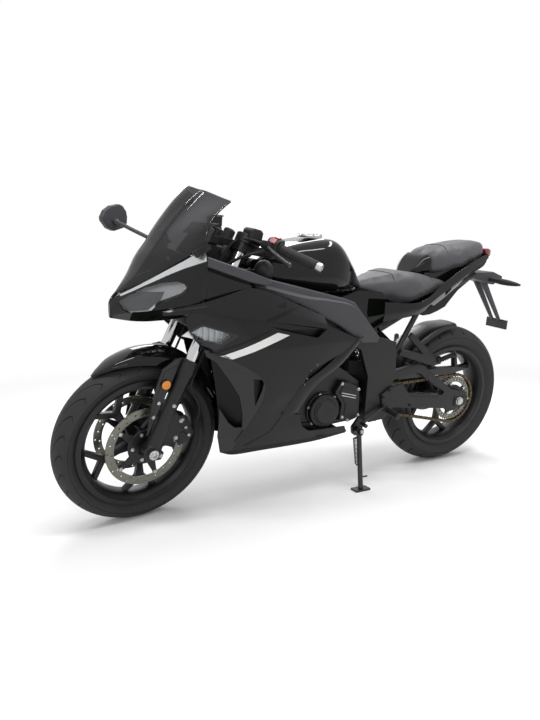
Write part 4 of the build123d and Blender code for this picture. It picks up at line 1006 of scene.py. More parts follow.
# Side fairing: a creased panel with a satin front facet, openings and a strip behind it
fairingTable = {
    # height: (x, y) from the front edge over the crease to the rear edge
    784: [(1236, 213), (1200, 216), (1040, 219), (800, 206), (640, 190)],
    744: [(1268, 192), (1200, 217), (1040, 223), (800, 212), (640, 196)],
    690: [(1250, 190), (1170, 216), (1040, 228), (790, 222), (620, 200)],
    636: [(1199, 160), (1168, 204), (1020, 234), (800, 226), (612, 202)],
    546: [(1168, 166), (1026, 232), (980, 234), (850, 226), (836, 225)],
    476: [(1150, 170), (1011, 228), (960, 228), (890, 220), (868, 218)],
    400: [(1146, 170), (1036, 204), (980, 206), (950, 204), (930, 203)],
    330: [(1150, 166), (1066, 178), (960, 180), (800, 176), (640, 162)],
    262: [(1132, 146), (1092, 150), (960, 150), (760, 146), (600, 136)],
}
fairing = {"wall": 4.0, "facetBelow": 640, "steps": 5,
    "topCut": [(1420, 800), (1190, 780), (1040, 752), (780, 711), (600, 636), (540, 900), (1420, 900)],
    "recess": [(1230, 600), (1190, 612), (1162, 595), (1116, 529), (1085, 475), (1072, 414), (1068, 359),
        (1094, 361), (1116, 381), (1147, 433), (1200, 440)],
    "pocket": [(1046, 540), (1020, 538), (1014, 524), (1017, 500), (1034, 440), (1041, 484)],
    "scoop": [(994, 713), (915, 699), (772, 694), (812, 666), (915, 690)],
    "engineWindow": [(846, 372), (824, 326), (788, 298), (590, 286), (560, 420), (800, 420)]}
lampTableSide = {"outline": [(1274, 690), (1220, 723), (1121, 692), (1163, 663)],
    "lens": [(1272, 690), (1220, 721), (1123, 692), (1163, 665)],
    "surround": [(1296, 688), (1219, 730), (1103, 690), (1176, 642)]}


# The sheet of the side panel: smooth towards the crease, straight between the rows towards the rear.
def fairingSheet():
    rows = [[Vector((x, y, z)) for x, y in line] for z, line in fairingTable.items()]
    steps = fairing["steps"]
    fine = [smoothLine(row, steps, (1,)) for row in rows]
    everyRow = tuple(range(len(rows)))
    bm = bmesh.new()
    grid = []
    for at in range(len(fine[0])):
        line = [row[at] for row in fine]
        bend = smoothLine(line, steps, (3, 7))
        straight = smoothLine(line, steps, everyRow)
        share = min(max(at / steps - 1.6, 0), 1)
        grid.append([bm.verts.new(a.lerp(b, share)) for a, b in zip(bend, straight)])
    for at, (a, b) in enumerate(zip(grid, grid[1:])):
        for low in range(len(a) - 1):
            face = bm.faces.new((a[low], b[low], b[low + 1], a[low + 1]))
            face.normal_update()
            if face.normal.y < 0:
                face.normal_flip()
            face.material_index = int(at < steps and face.calc_center_median().z < fairing["facetBelow"])
    return draftOf(bm)


def prism(outline, yIn=120, yOut=320):
    return plateMesh(outline, yIn, yOut, 0)


fairingSurface = surfaceOf(fairingSheet())
openings = [prism(fairing[key]) for key in ("topCut", "recess", "pocket", "scoop",
        "engineWindow")] + [prism(lampTableSide["outline"])]
panelSkin = workedMesh(fairingSheet(), fairing["wall"], openings)
stripRows = [[(640, 205, 652), (610, 204, 652), (600, 200, 652)],
    [(760, 214, 560), (720, 214, 560), (690, 206, 560)], [(866, 214, 490), (830, 214, 490), (790, 206, 490)],
    [(926, 200, 400), (880, 200, 400), (850, 192, 400)], [(960, 180, 333), (900, 180, 333), (862, 174, 333)]]
strip = workedMesh(sheetMesh(stripRows, 6, 3), 4)
skin = joined(panelSkin, strip)
skinRight = mirroredMesh(skin)
addPiece("fairing_left_skin", placed(skin, bikeAt), ("blackLacquer", "satinAbs"), "chassis", "fairing_left",
    sharp=26, bevel=1.8)
addPiece("fairing_right_skin", placed(skinRight, bikeAt), ("blackLacquer", "satinAbs"), "chassis",
    "fairing_right", sharp=26, bevel=1.8)

# Inner walls behind the openings, the vents before the strip and their bars
ductRows = [[(1176, 150, 628), (1130, 168, 622), (1090, 186, 612)],
    [(1150, 140, 500), (1104, 160, 500), (1062, 190, 500)], [(1140, 138, 420), (1100, 154, 420),
        (1054, 182, 420)], [(1136, 136, 346), (1100, 148, 346), (1050, 168, 346)]]
duct = workedMesh(sheetMesh(ductRows, 5, 5), 3)
pocketFloor = plateMesh([(1054, 548), (1008, 546), (1004, 500), (1026, 430), (1050, 484)], 208, 212, 0.5)
scoopFloor = plateMesh([(1010, 722), (760, 704), (800, 656), (920, 680)], 196, 200, 0.5)
ventRows = [[(618, 196, 652), (600, 190, 640)], [(738, 208, 628), (700, 198, 588)],
    [(838, 212, 580), (760, 204, 536)], [(866, 212, 500), (830, 204, 474)]]
ventFloor = workedMesh(sheetMesh(ventRows, 6, 3), 3)
barSpots = []
for x, y, z in ((852, 216, 506), (843, 216, 528), (828, 216, 556), (806, 216, 574)):
    barSpots.append(((x, y, z), (0.1, 1, 0)))
ventBars = setOnSpots(plateMesh([(-3, -12), (3, -12), (3, 12), (-3, 12)], -3, 3, 1,
        Matrix.Rotation(radians(40), 4, "X")), barSpots,
    "satinAbs")
# the inner walls' near-black finish is painted shade inside the openings
piecePair("fairing_inner_walls", joined(duct, pocketFloor, scoopFloor, ventFloor), "ductPolypropylene",
    "chassis", sharp=30)
piecePair("strip_vent_bars", ventBars, "satinAbs", "chassis", sharp=30)

# White slash foil, dark foils over the panel gaps as their painted shade, and the rim round the position lamp
slash = foilMesh([(1157, 621), (968, 693)], [(1119, 611), (923, 682)], fairingSurface)
piecePair("side_slash", slash, "whiteFoil", "chassis", sharp=60, weighted=False)
gapLines = [([(1186, 632), (994, 703)], [(1184, 627), (994, 698)]),
    ([(866, 500), (913, 412), (962, 324), (1046, 279)],
        [(862, 498), (909, 408), (957, 321), (1040, 274)]), ([(1066, 352), (1088, 300)],
        [(1060, 350), (1083, 298)])]
gapShadeFoils = joined(*[foilMesh(a, b, fairingSurface, 0.5, 20, 1) for a, b in gapLines])
piecePair("panel_gaps", gapShadeFoils, "ductPolypropylene", "chassis", sharp=60, weighted=False)
inner, outer = lampTableSide["outline"], lampTableSide["surround"]
rim = foilMesh(outer + outer[:1], inner + inner[:1], fairingSurface, 0.6, 41, 2)
piecePair("position_lamp_rims", rim, "satinAbs", "chassis", sharp=60, weighted=False)
print("side fairings made")

# Upper wings, with near-black foils at their rear end as painted shade of the scoop openings
wingRows = [[(780, 206, 736), (780, 232, 712), (780, 238, 698)],
    [(900, 206, 786), (900, 232, 744), (900, 242, 718)], [(1000, 212, 826), (1000, 232, 770),
        (1000, 243, 734)], [(1073, 222, 842), (1073, 234, 790), (1073, 243, 745)],
    [(1217, 237, 803), (1217, 243, 788), (1217, 245, 767)], [(1340, 188, 770), (1340, 190, 764),
        (1340, 188, 756)]]
wing = {"wall": 4, "scoopShadeFoils": [([(972, 778), (932, 794)], [(972, 777), (938, 772)]),
        ([(1030, 737), (930, 768), (876, 776)], [(1030, 736), (996, 733), (876, 775)])]}
wingSheet = sheetMesh(wingRows, 6, 5, (3,), (1,))
wingSurface = surfaceOf(wingSheet)
wingSkin = workedMesh(wingSheet, wing["wall"])
piecePair("upper_wing_skins", wingSkin, "blackLacquer", "chassis", "upper_wings", sharp=26, bevel=1.6)
# the foils are laid on the wing's surface with no opening cut: their dark colour is painted shade
scoopShadeFoils = joined(*[foilMesh(a, b, wingSurface, 0.6, 16, 3) for a, b in wing["scoopShadeFoils"]])
piecePair("wing_scoops", scoopShadeFoils, "ductPolypropylene", "chassis", sharp=60, weighted=False)

# Belly pan, in the near-black finish as painted shade of the underside
bellyRows = [[(596, 134, 262), (596, 126, 250), (596, 0, 246)], [(760, 146, 262), (760, 136, 240),
        (760, 0, 234)],
    [(980, 150, 262), (980, 139, 240), (980, 0, 234)], [(1050, 150, 262), (1050, 140, 240), (1050, 96, 236)],
    [(1092, 149, 262), (1092, 141, 244), (1092, 124, 240)], [(1128, 146, 262), (1128, 142, 258),
        (1128, 136, 256)]]
belly = workedMesh(sheetMesh(bellyRows, 4, 4, (), (1,), (0, 0, -1)), 4)
piecePair("belly_pan_skin", belly, "ductPolypropylene", "chassis", "belly_pan", sharp=28, bevel=1.5)
print("wings and belly made")

# Nose cowl with the lamp openings, the beak and the mirror bosses
noseTable = [
    (1213, [(212, 960), (224, 908), (218, 806), (190, 772)]),
    (1269, [(165, 920), (196, 850), (213, 790), (150, 742)]),
    (1344, [(114, 866), (150, 828), (168, 772), (104, 726)]),
    (1400, [(70, 830), (96, 800), (104, 757), (60, 720)]),
    (1450, [(22, 792), (32, 768), (26, 738), (12, 722)]),
    (1464, [(8, 772), (12, 760), (12, 740), (6, 724)]),
]
noseRows = [[(x, y, z) for y, z in line] for x, line in noseTable]
headlamp = {"outline": [(1442, 780), (1414, 806), (1370, 834), (1332, 851), (1290, 858), (1268, 850),
        (1264, 838), (1280, 822), (1342, 793), (1366, 764), (1417, 750), (1432, 758)],
    "lens": [(1440, 779), (1413, 804), (1369, 832), (1332, 849), (1291, 856), (1270, 848), (1267, 838),
        (1282, 824), (1344, 795), (1368, 766), (1416, 752), (1430, 760)],
    "bright": [(1450, 800), (1400, 830), (1332, 870), (1240, 880), (1240, 810), (1338, 790), (1322, 824),
        (1376, 818)],
    "lensWall": 3, "inwards": (-8, -15, -2)}


def noseSheet(rowSteps=6, colSteps=6):
    return sheetMesh(noseRows, rowSteps, colSteps, (), (2,))


noseSurface = surfaceOf(noseSheet())
noseSkin = workedMesh(noseSheet(), 5, [prism(headlamp["outline"], 20, 300)])
boss = plateMesh([(1262, 946), (1214, 976), (1196, 960), (1244, 930)], 203, 224, 3)
beak = plateMesh([(1463, 770), (1463, 726), (1380, 716), (1372, 722), (1424, 742)], -6, 6, 2)
nose = joined(bothSides(joined(noseSkin, boss)), beak)
addPiece("nose_cowl_skin", placed(nose, bikeAt), "blackLacquer", "chassis", "nose_cowl", sharp=26, bevel=1.4)
bossHoles = [((1229 + 0.85 * r, 224.2, 953 - 0.527 * r), (0, 1, 0)) for r in (-19, 19)]
bossRings = setOnSpots(latheMesh([(3.3, 0), (6, 0), (6, 0.6), (3.3, 0.6), (3.3, 0)], (0, 0, 0), (0, 0, 1),
        24), bossHoles, "gripRubber")
addPiece("mirror_bolt_holes", placed(bossRings, bikeAt), "gripRubber", "chassis", sharp=40)

# Side panel that closes the gap between the nose, the cockpit trim and the wing
sidePanel = sheetMesh([[(1214, 223, 895), (1214, 221, 808)], [(1140, 222, 869), (1140, 226, 828)],
        [(1064, 221, 847), (1064, 221, 842)]], 6, 4)
piecePair("nose_side_panels", workedMesh(sidePanel, 4), "blackLacquer", "chassis", sharp=28, bevel=1.4)

# Silver stripe under the screen
stripe = foilMesh([(1436, 803), (1372, 846), (1314, 886), (1267, 918), (1214, 958)],
    [(1434, 798), (1372, 838), (1314, 872), (1267, 897), (1214, 922)], noseSurface, 0.8, 40, 4)
piecePair("nose_stripe", stripe, "silverFoil", "chassis", sharp=60, weighted=False)

# Lamps: lenses in the openings, a rear part in a pale finish as painted reflection of the bright reflector,
# grey inner panels and a projector
headLens = workedMesh(noseSheet(), headlamp["lensWall"], (), prism(headlamp["lens"], 20, 300))
sideLens = workedMesh(fairingSheet(), 3, (), prism(lampTableSide["lens"]))
inward = Matrix.Translation(headlamp["inwards"])
piecePair("headlamp_lenses", headLens, "smokedPolycarbonate", "chassis", "front_lamps", sharp=40)
piecePair("position_lamp_lenses", withFinish(sideLens, 0), "clearPolycarbonate", "chassis", sharp=40)
innerDark = workedMesh(placed(noseSheet(), inward), 2, [prism(headlamp["bright"], 0, 300)], None)
innerDark = workedMesh(innerDark, 0, (), prism(headlamp["outline"], 0, 300))
innerPaintedBright = workedMesh(workedMesh(placed(noseSheet(), inward), 2, (), prism(headlamp["outline"], 0, 300)),
    0, (), prism(headlamp["bright"], 0, 300))
projectorAt = Vector((1394, 62, 784))
projector = latheMesh([(17, -16), (21, -4), (21, 0), (18, 2), (17, 2), (14, 6), (8, 9), (0, 10)], projectorAt,
    projectorAt + Vector((0.75, 0.65, 0.05)), 32)
piecePair("headlamp_inner_panels", joined(innerDark, projector), "greyAbs", "chassis", sharp=30)
piecePair("headlamp_reflectors", innerPaintedBright, "metallisedBowl", "chassis", sharp=30)
# the position lamp bowls take the same pale finish, painted reflection
bowl = plateMesh([(1280, 690), (1220, 730), (1114, 692), (1163, 656)], 178, 184, 1)
ribs = [plateMesh([(x - 3, z0), (x - 3, z1), (x + 3, z1), (x + 3, z0)], 184, 194, 1.5)
    for x, z0, z1 in ((1150, 676, 700), (1170, 668, 706), (1190, 672, 712), (1210, 678, 718),
        (1230, 684, 714))]
piecePair("position_lamp_bowls", joined(bowl, *ribs), "metallisedBowl", "chassis", sharp=30)
print("nose and lamps made")

# Screen with a double bubble
screenTable = [
    # height, middle x, side x, half width, bulge
    (806, 1444, 1430, 16, 0), (860, 1408, 1352, 100, 0), (920, 1370, 1272, 158, 8),
    (964, 1330, 1216, 202, 16), (1010, 1288, 1206, 204, 30), (1060, 1244, 1176, 192, 38),
    (1102, 1211, 1148, 182, 38), (1146, 1180, 1118, 168, 26),
]
screen = {"bubbleHalf": 80, "wall": 3.5, "tipDrop": {1060: 4, 1102: 22, 1146: 46}}


def screenRow(z, middle, side, half, bulge):
    waist = min(screen["bubbleHalf"], half * 0.6)
    row = []
    for share in (-1, -0.85, -0.7, -0.5, 0, 0.5, 0.7, 0.85, 1):
        y = half * share if abs(share) >= 0.85 else waist * share / 0.7
        x = middle - (middle - side) * (y / half) ** 2
        if abs(share) < 0.7:
            rest = middle - (middle - side) * (waist / half) ** 2
            x = rest + (middle + bulge - rest) * (1 - (y / waist) ** 2)
        row.append((x, y, z - screen["tipDrop"].get(z, 0) * abs(y / half) ** 1.3))
    return row


screenSheet = sheetMesh([screenRow(*row) for row in screenTable], 6, 6, (), (), (1, 0, 0), bikeAt)
addPiece("windscreen_sheet", screenSheet, "smokedAcrylic", "chassis", "windscreen", sharp=70,
    wall=screen["wall"])
print("screen made")

# Yokes, clip-on bars, levers and what sits on them
cockpit = {"lowerYoke": 735, "upperYoke": 1030, "yokeThick": 30, "gripR": 16.5}
yokeAt = Matrix((steerForward, steerUp, Vector((0, -1, 0)))).transposed().to_4x4()
yokeAt.translation = steerFoot


def yokeMesh(up):
    reach = fork["y"] + fork["tube"] + 14
    outline = [(-40, 30), (-40, -30), (o - 30, -reach + 8), (o - 22, -reach), (o + 22, -reach),
        (o + 30, -reach + 8), (o + 34, 0), (o + 30, reach - 8), (o + 22, reach), (o - 22, reach),
        (o - 30, reach - 8)]
    return plateMesh(outline, up, up + cockpit["yokeThick"], 4, yokeAt, 3)


stem = barMesh(forkPoint(0, 0, cockpit["lowerYoke"]), forkPoint(0, 0, 1068), 17)
stemNut = latheMesh([(22, 0), (24, 2), (24, 10), (20, 12), (0, 12)], forkPoint(0, 0, 1060),
    forkPoint(0, 0, 1080), 6)
tops = [latheMesh([(19, 0), (19, 3), (13, 4), (12, 9), (0, 9)], forkPoint(o, y, 1085), forkPoint(o, y, 1100),
        24)
    for y in (fork["y"], -fork["y"])]
yokes = joined(withFinish(joined(yokeMesh(cockpit["lowerYoke"]), yokeMesh(cockpit["upperYoke"]), stem), 0),
    withFinish(joined(stemNut, *tops), 1))
addPiece("yokes_cast", placed(yokes, forkAt), ("powderCoatedAlloy", "machinedAluminium"), "front_end",
    "yokes", sharp=30)

gripIn, gripOut = forkPoint(-22, 222, 1086), forkPoint(-86, 338, 1078)
barRun = (gripOut - gripIn).normalized()
clamp = latheMesh([(21, 0), (32, 0), (33.5, 2), (33.5, 28), (32, 30), (21, 30), (21, 0)],
    forkPoint(o, 97, 1061), forkPoint(o, 97, 1091), 36)
ear = forkPlate([(o - 54, 1064), (o - 54, 1086), (o - 28, 1088), (o - 28, 1062)], 84, 112, 4)
bar = barMesh(forkPoint(o - 20, 109, 1084), gripIn + barRun * 4, 11)
length = (gripOut - gripIn).length
gripRows = [(18.5, -6), (21, -5), (21, -1), (16, 0)]
for at in range(18):
    along = 4 + at * (length - 8) / 18
    gripRows += [(cockpit["gripR"], along), (cockpit["gripR"], along + 4),
        (cockpit["gripR"] - 1.3, along + 4.8), (cockpit["gripR"] - 1.3, along + 6.2)]
gripRows += [(cockpit["gripR"], length - 2), (15, length), (0, length)]
grip = latheMesh(gripRows, gripIn, gripOut, 32)
weight = latheMesh([(9, 0), (14, 1), (14, 12), (12.5, 17), (7, 18), (6, 14), (0, 14)], gripOut,
    gripOut + barRun, 28)
lever = tubeMesh([forkPoint(22, 205, 1076), forkPoint(30, 222, 1070), forkPoint(36, 246, 1062),
        forkPoint(20, 284, 1050), forkPoint(2, 316, 1040)], 6.2, sides=5)
leverTip = latheMesh([(0, -9), (6.4, -6.4), (9, 0), (6.4, 6.4), (0, 9)], forkPoint(1, 318, 1040),
    forkPoint(0, 330, 1036), 20)
perch = forkPlate([(40, 1064), (40, 1088), (8, 1096), (-14, 1092), (-14, 1070), (8, 1062)], 190, 216, 5)
perchArm = barMesh(forkPoint(22, 205, 1078), forkPoint(-3, 189, 1080), 9)
switchBox = plateMesh([(-30, -20), (-30, 18), (-22, 26), (20, 26), (28, 18), (28, -20), (20, -26),
        (-22, -26)], -19, 19, 6, None, 3)
aim = barRun.to_track_quat("Y", "Z").to_matrix().to_4x4()
aim.translation = gripIn - barRun * 26
switchBox.transform(aim)
button = joined(plateMesh([(12, 25), (26, 11), (31, 16), (17, 30)], -12, 10, 1.5),
    plateMesh([(-14, 24), (4, 24), (4, 30), (-14, 30)], -6, 8, 1.5))
button.transform(aim)
toggles = [barMesh(forkPoint(-48, y, 1086), forkPoint(-58, y, 1088), 5, 16) for y in (192, 206)]
sidePieces = joined(withFinish(joined(clamp, ear, bar, perch, perchArm, *toggles), 0),
    withFinish(joined(grip, switchBox), 1), withFinish(joined(lever, leverTip), 2), withFinish(weight, 3),
    withFinish(button, 4))
bars = bothSides(sidePieces)
addPiece("handlebars_dressed", placed(bars, forkAt), ("powderCoatedAlloy", "gripRubber", "blackenedSteel",
        "machinedAluminium", "redAbs"), "front_end", "handlebars", sharp=32)

# Fluid box on the right, relay box on the left, cap, key barrel and the hoses between the yokes
fluidBox = plateMesh([(-22, -18), (-22, 18), (22, 18), (22, -18)], -21, 21, 4,
    Matrix.Translation(forkPoint(o + 18, -112, 1112)), 3)
fluidLid = plateMesh([(-20, 0), (-20, 5), (20, 5), (20, 0)], -19, 19, 2,
    Matrix.Translation(forkPoint(o + 18, -112, 1130)))
leftBox = plateMesh([(-24, -24), (-24, 8), (-14, 16), (16, 16), (24, 8), (24, -24)], -26, 26, 4,
    Matrix.Translation(forkPoint(o - 4, 118, 1102)) @ Matrix.Rotation(radians(-12), 4, "Y"), 3)
keyBarrel = barMesh(forkPoint(52, 8, 1050), forkPoint(52, 8, 1096), 20)
keyCone = latheMesh([(16, 0), (9, 16), (5, 26), (0, 27)], forkPoint(30, 52, 1060), forkPoint(30, 52, 1090),
    24)
horn = latheMesh([(0, 14), (14, 13), (24, 9), (27, 2), (27, -8), (0, -8)], forkPoint(60, 62, 1010),
    forkPoint(64, 120, 1012), 36)
hoses = [tubeMesh([forkPoint(o + 10, -100, 1110), forkPoint(o + 50, -92, 1090), forkPoint(o + 44, -78, 960),
            forkPoint(o + 40, -60, 800), forkPoint(o + 36, -20, 766)], 4.5),
    tubeMesh([forkPoint(20, 186, 1078), forkPoint(56, 130, 1084), forkPoint(78, 76, 1040),
            forkPoint(74, 70, 900), forkPoint(o + 36, 26, 768)], 4),
    tubeMesh([forkPoint(-6, 186, 1072), forkPoint(30, 150, 1040), forkPoint(76, 84, 960),
            forkPoint(74, 74, 860), forkPoint(o + 36, 52, 766)], 5),
    tubeMesh([forkPoint(-6, -186, 1072), forkPoint(30, -150, 1040), forkPoint(76, -84, 980),
            forkPoint(74, -74, 860), forkPoint(o + 36, -52, 766)], 5)]
looms = [plateMesh([(38, -72), (38, 72), (70, 72), (70, -72)], up, top, 6, yokeAt)
    for up, top in ((776, 878), (942, 1024))]
looms += [plateMesh([(38, y - 13), (38, y + 13), (70, y + 13), (70, y - 13)], 870, 950, 5, yokeAt)
    for y in (-60, 60)]
brace = joined(*looms)
barLoom = tubeMesh([forkPoint(20, 96, 1050), forkPoint(4, 120, 1054), forkPoint(-10, 156, 1060),
        forkPoint(-22, 196, 1066)], 15)
clutter = joined(fluidBox, fluidLid, leftBox, keyBarrel, keyCone, horn, barLoom, *hoses)
domeAt = Vector((986, 142, 888))
dome = latheMesh([(26, -34), (33, -14), (33, 0), (30, 14), (22, 25), (12, 31), (0, 33)], domeAt,
    domeAt + Vector((0.2, 0.5, 0.85)), 40)
domeLoom = tubeMesh([(990, 120, 880), (1010, 60, 872), (1014, 0, 870), (1010, -60, 872), (990, -120, 876)],
    11)
addPiece("cockpit_dome", placed(joined(dome, domeLoom), bikeAt), "gripRubber", "chassis", sharp=34)
addPiece("cockpit_boxes", placed(clutter, forkAt), "gripRubber", "front_end", sharp=34)
addPiece("fork_loom_covers", placed(brace, forkAt), "gripRubber", "front_end", sharp=34)
calHose = [forkPoint(-96, 84, a + 142), forkPoint(-93, 84, a + 188), forkPoint(o - 44, 92, 548),
    forkPoint(o - 38, 91, 600), forkPoint(o - 38, 91, 734)]
addPiece("brake_hoses_run", placed(bothSides(tubeMesh(calHose, 4)), forkAt), "gripRubber", "front_end",
    "brake_hoses", sharp=40)
print("bars made")

# Instrument cluster and its face
dash = plateMesh([(1221, 936), (1153, 1022), (1137, 1012), (1185, 922)], -84, 84, 6, None, 3)
dashHood = plateMesh([(1200, 996), (1160, 1034), (1120, 1030), (1150, 1016)], -78, 78, 4, None, 3)
dashFace = plateMesh([(1144, 1004), (1178, 942), (1175, 940), (1141, 1002)], -66, 66, 1)
cluster = joined(withFinish(joined(dash, dashHood), 0), withFinish(dashFace, 1))
addPiece("dash_cluster", placed(cluster, bikeAt), ("pebbledPolypropylene", "clearPolycarbonate"), "chassis",
    "dash", sharp=34)

# Right mirror: a rounded head on a stem
mirror = {"middle": (1376, -372, 1034), "turn": -62, "depth": 17,
    "outline": [(-58, 6), (-54, 26), (-38, 46), (-20, 52), (16, 44), (44, 26), (58, 2), (56, -12), (34, -38),
        (6, -48), (-44, -34), (-56, -18)]}
headTurn = Matrix.Rotation(radians(mirror["turn"]), 4, "Z") @ Matrix.Rotation(radians(90), 4, "Z")
headAt = Matrix.Translation(mirror["middle"]) @ headTurn
mirrorBack = plateMesh(mirror["outline"], -mirror["depth"] * 0.5, mirror["depth"], 9, headAt, 4)
mirrorFace = plateMesh([(x * 0.88, z * 0.88) for x, z in mirror["outline"]], -mirror["depth"] * 0.5 - 1,
    -mirror["depth"] * 0.5 + 1, 0.5, headAt)
foot = latheMesh([(20, 0), (20, 8), (16, 12), (10, 15), (0, 15)], (1229, -224.3, 953), (1229, -240, 953), 32)
arm = tubeMesh([(1233, -236, 953), (1262, -262, 966), (1320, -312, 996), (1358, -344, 1018),
        (1372, -356, 1026)], 7.5)
knuckle = latheMesh([(0, -12), (9, -9), (12, 0), (9, 9), (0, 12)], (1366, -352, 1022), (1372, -357, 1026), 20)
mirrorPiece = joined(withFinish(joined(mirrorBack, foot, arm, knuckle), 0), withFinish(mirrorFace, 1))
addPiece("right_mirror_head", placed(mirrorPiece, bikeAt), ("pebbledPolypropylene", "mirrorGlass"), "chassis",
    "right_mirror", sharp=34)

# Frame covers, cockpit trims with their slot, and dark liners inside the fairing
coverOutline = [(1036, 852), (1016, 870), (860, 834), (675, 790), (640, 778), (515, 642), (525, 622),
    (590, 624), (700, 694), (860, 772), (1027, 832)]
coverPlate = plateMesh(coverOutline, 152.3, 188, 8, None, 3)
coverRows = [[(1034, 172, 850), (1034, 192, 842), (1034, 188, 834)],
    [(1012, 168, 868), (1012, 197, 838), (1012, 189, 828)], [(860, 166, 832), (860, 198, 800),
        (860, 189, 776)], [(740, 170, 804), (740, 197, 784), (740, 189, 722)],
    [(640, 176, 774), (640, 195, 756), (640, 189, 668)], [(540, 182, 668), (540, 190, 650), (540, 188, 634)]]
cover = joined(coverPlate, workedMesh(sheetMesh(coverRows, 5, 3, (), (1,)), 3))
trim = plateMesh([(1212.7, 936), (1212.7, 905), (1064, 856), (1012, 846), (988, 852), (1004, 868),
        (1060, 888)], 190, 219, 6, None, 3)
slotFoil = plateMesh([(1150, 908), (1144, 910), (1119, 897), (1124, 891)], 218.6, 219.6, 0.3)
covers = joined(withFinish(joined(cover, trim), 0), withFinish(slotFoil, 1))
piecePair("frame_covers_moulded", covers, "pebbledPolypropylene", "chassis", "frame_covers", sharp=34)
liner = joined(plateMesh([(468, 300), (556, 300), (556, 520), (468, 520)], 56, 60, 1),
    plateMesh([(1214, 790), (1214, 916), (1060, 862), (1030, 800), (1060, 770)], 184, 187, 1),
    plateMesh([(1040, 850), (1000, 862), (640, 772), (520, 640), (640, 660), (860, 740), (1030, 760)], 147,
        150, 0.6), plateMesh([(1180, 640), (1150, 770), (1030, 770), (860, 700), (640, 640), (700, 560),
            (830, 520), (990, 520), (1040, 600)],
        156, 160, 1))
piecePair("fairing_liners", liner, "gripRubber", "chassis", sharp=34)
print("cockpit made")


# A closed body through rounded sections across the machine, smooth lengthwise.
def bodyRing(x, halfWidth, low, high, corner, count=10):
    ring = []
    for turn, sideY, sideZ in ((0, 1, 1), (90, -1, 1), (180, -1, -1), (270, 1, -1)):
        middleY, middleZ = sideY * (halfWidth - corner), (high + low) / 2 + sideZ * ((high - low) / 2
            - corner)
        for step in range(count + 1):
            angle = radians(turn + 90 * step / count)
            ring.append(Vector((x, middleY + corner * cos(angle), middleZ + corner * sin(angle))))
    return ring


def bodyMesh(rows, steps=6, shrink=0.0):
    rings = [bodyRing(x, h - shrink, low + shrink, high - shrink, max(corner, 3))
        for x, h, low, high, corner in rows]
    bm = bmesh.new()
    columns = [smoothLine([ring[at] for ring in rings], steps) for at in range(len(rings[0]))]
    grid = [[bm.verts.new(p) for p in column] for column in columns]
    for at in range(len(grid)):
        a, b = grid[at], grid[(at + 1) % len(grid)]
        for step in range(len(a) - 1):
            bm.faces.new((a[step], a[step + 1], b[step + 1], b[step]))
    bm.faces.new([column[0] for column in grid])
    bm.faces.new([column[-1] for column in grid])
    return meshOf(bm)


# Tank with its filler plinth and the lid's hinge
tankRows = [(1000, 92, 852, 896, 18), (978, 108, 842, 924, 30), (930, 132, 822, 950, 44),
    (800, 150, 806, 982, 62), (690, 150, 802, 988, 62), (610, 118, 802, 916, 42), (543, 64, 806, 844, 16)]
tank = bodyMesh(tankRows, 8)
plinth = latheMesh([(60, 968), (60, 978), (56, 984), (54, 984)], (735, 0, 0), (735, 0, 1), 48)
addPiece("fuel_tank_shell", placed(joined(tank, plinth), bikeAt), "blackLacquer", "chassis", "fuel_tank",
    sharp=32)
capRows = [(0, 994.6), (46, 994.6), (47, 996), (47, 1001), (45, 1003), (38, 1003.6), (37, 1002), (30, 1002),
    (29, 1004.3), (0, 1004.3)]
cap = latheMesh(capRows, (735, 0, 0), (735, 0, 1), 64)
capBolts = setOnSpots(boltMesh(3.4, 3), [((735 + 41.5 * cos(radians(t)), 41.5 * sin(radians(t)), 1003),
            (0, 0, 1)) for t in range(20, 380, 60)],
    "machinedAluminium")
keyFlap = plateMesh([(718, 1004), (718, 1007), (758, 1007), (758, 1004)], -8, 8, 1)
lid = joined(withFinish(joined(cap, keyFlap), 0), withFinish(capBolts, 1))
addPiece("fuel_cap_turned", placed(lid, bikeAt), ("machinedAluminium", "groundSteel"), "fuel_cap", "fuel_cap",
    sharp=34)
print("tank made")

# Seats: foam pads swollen by a cloth simulation, then seams laid over them
seatTable = {
    "rider_seat": dict(rows=[(534, 52, 800, 830, 12), (440, 100, 766, 853, 30), (330, 142, 756, 872, 44),
            (180, 118, 792, 848, 20), (112, 92, 814, 838, 10)], cap=6.0, seams=[0.34, 0.78]),
    "pillion_seat": dict(rows=[(216, 50, 870, 924, 18), (180, 92, 858, 962, 37), (50, 102, 880, 988, 38),
            (-66, 82, 918, 1002, 30), (-92, 64, 938, 986, 20)], cap=6.0, seams=[0.3]),
}
pad = {"shrink": 3.0, "voxel": 5.0, "pressure": 4.0, "frames": 20}


def swollenMesh(mesh, most):
    holder = newObject("pad", mesh)
    remesh = holder.modifiers.new("even", "REMESH")
    remesh.mode, remesh.voxel_size = "VOXEL", pad["voxel"]
    even = finalMesh(holder)
    bpy.data.objects.remove(holder)
    even.transform(Matrix.Scale(0.001, 4))
    before = [v.co.copy() for v in even.vertices]
    foam = newObject("foam", even)
    cloth = foam.modifiers.new("cloth", "CLOTH")
    cloth.settings.use_pressure = True
    cloth.settings.uniform_pressure_force = pad["pressure"]
    cloth.settings.effector_weights.gravity = 0
    cloth.point_cache.frame_start, cloth.point_cache.frame_end = 1, pad["frames"]
    for frameAt in range(1, pad["frames"] + 1):
        scene.frame_set(frameAt)
    swollen = foam.evaluated_get(bpy.context.evaluated_depsgraph_get())
    after = [v.co.copy() for v in swollen.data.vertices]
    foam.modifiers.clear()
    bpy.data.objects.remove(foam)
    for vert, start, end in zip(even.vertices, before, after):
        shift = end - start
        vert.co = start + shift * min(1.0, most / 1000 / max(shift.length, 1e-9))
    scene.frame_set(1)
    even.transform(Matrix.Scale(1000, 4))
    return even


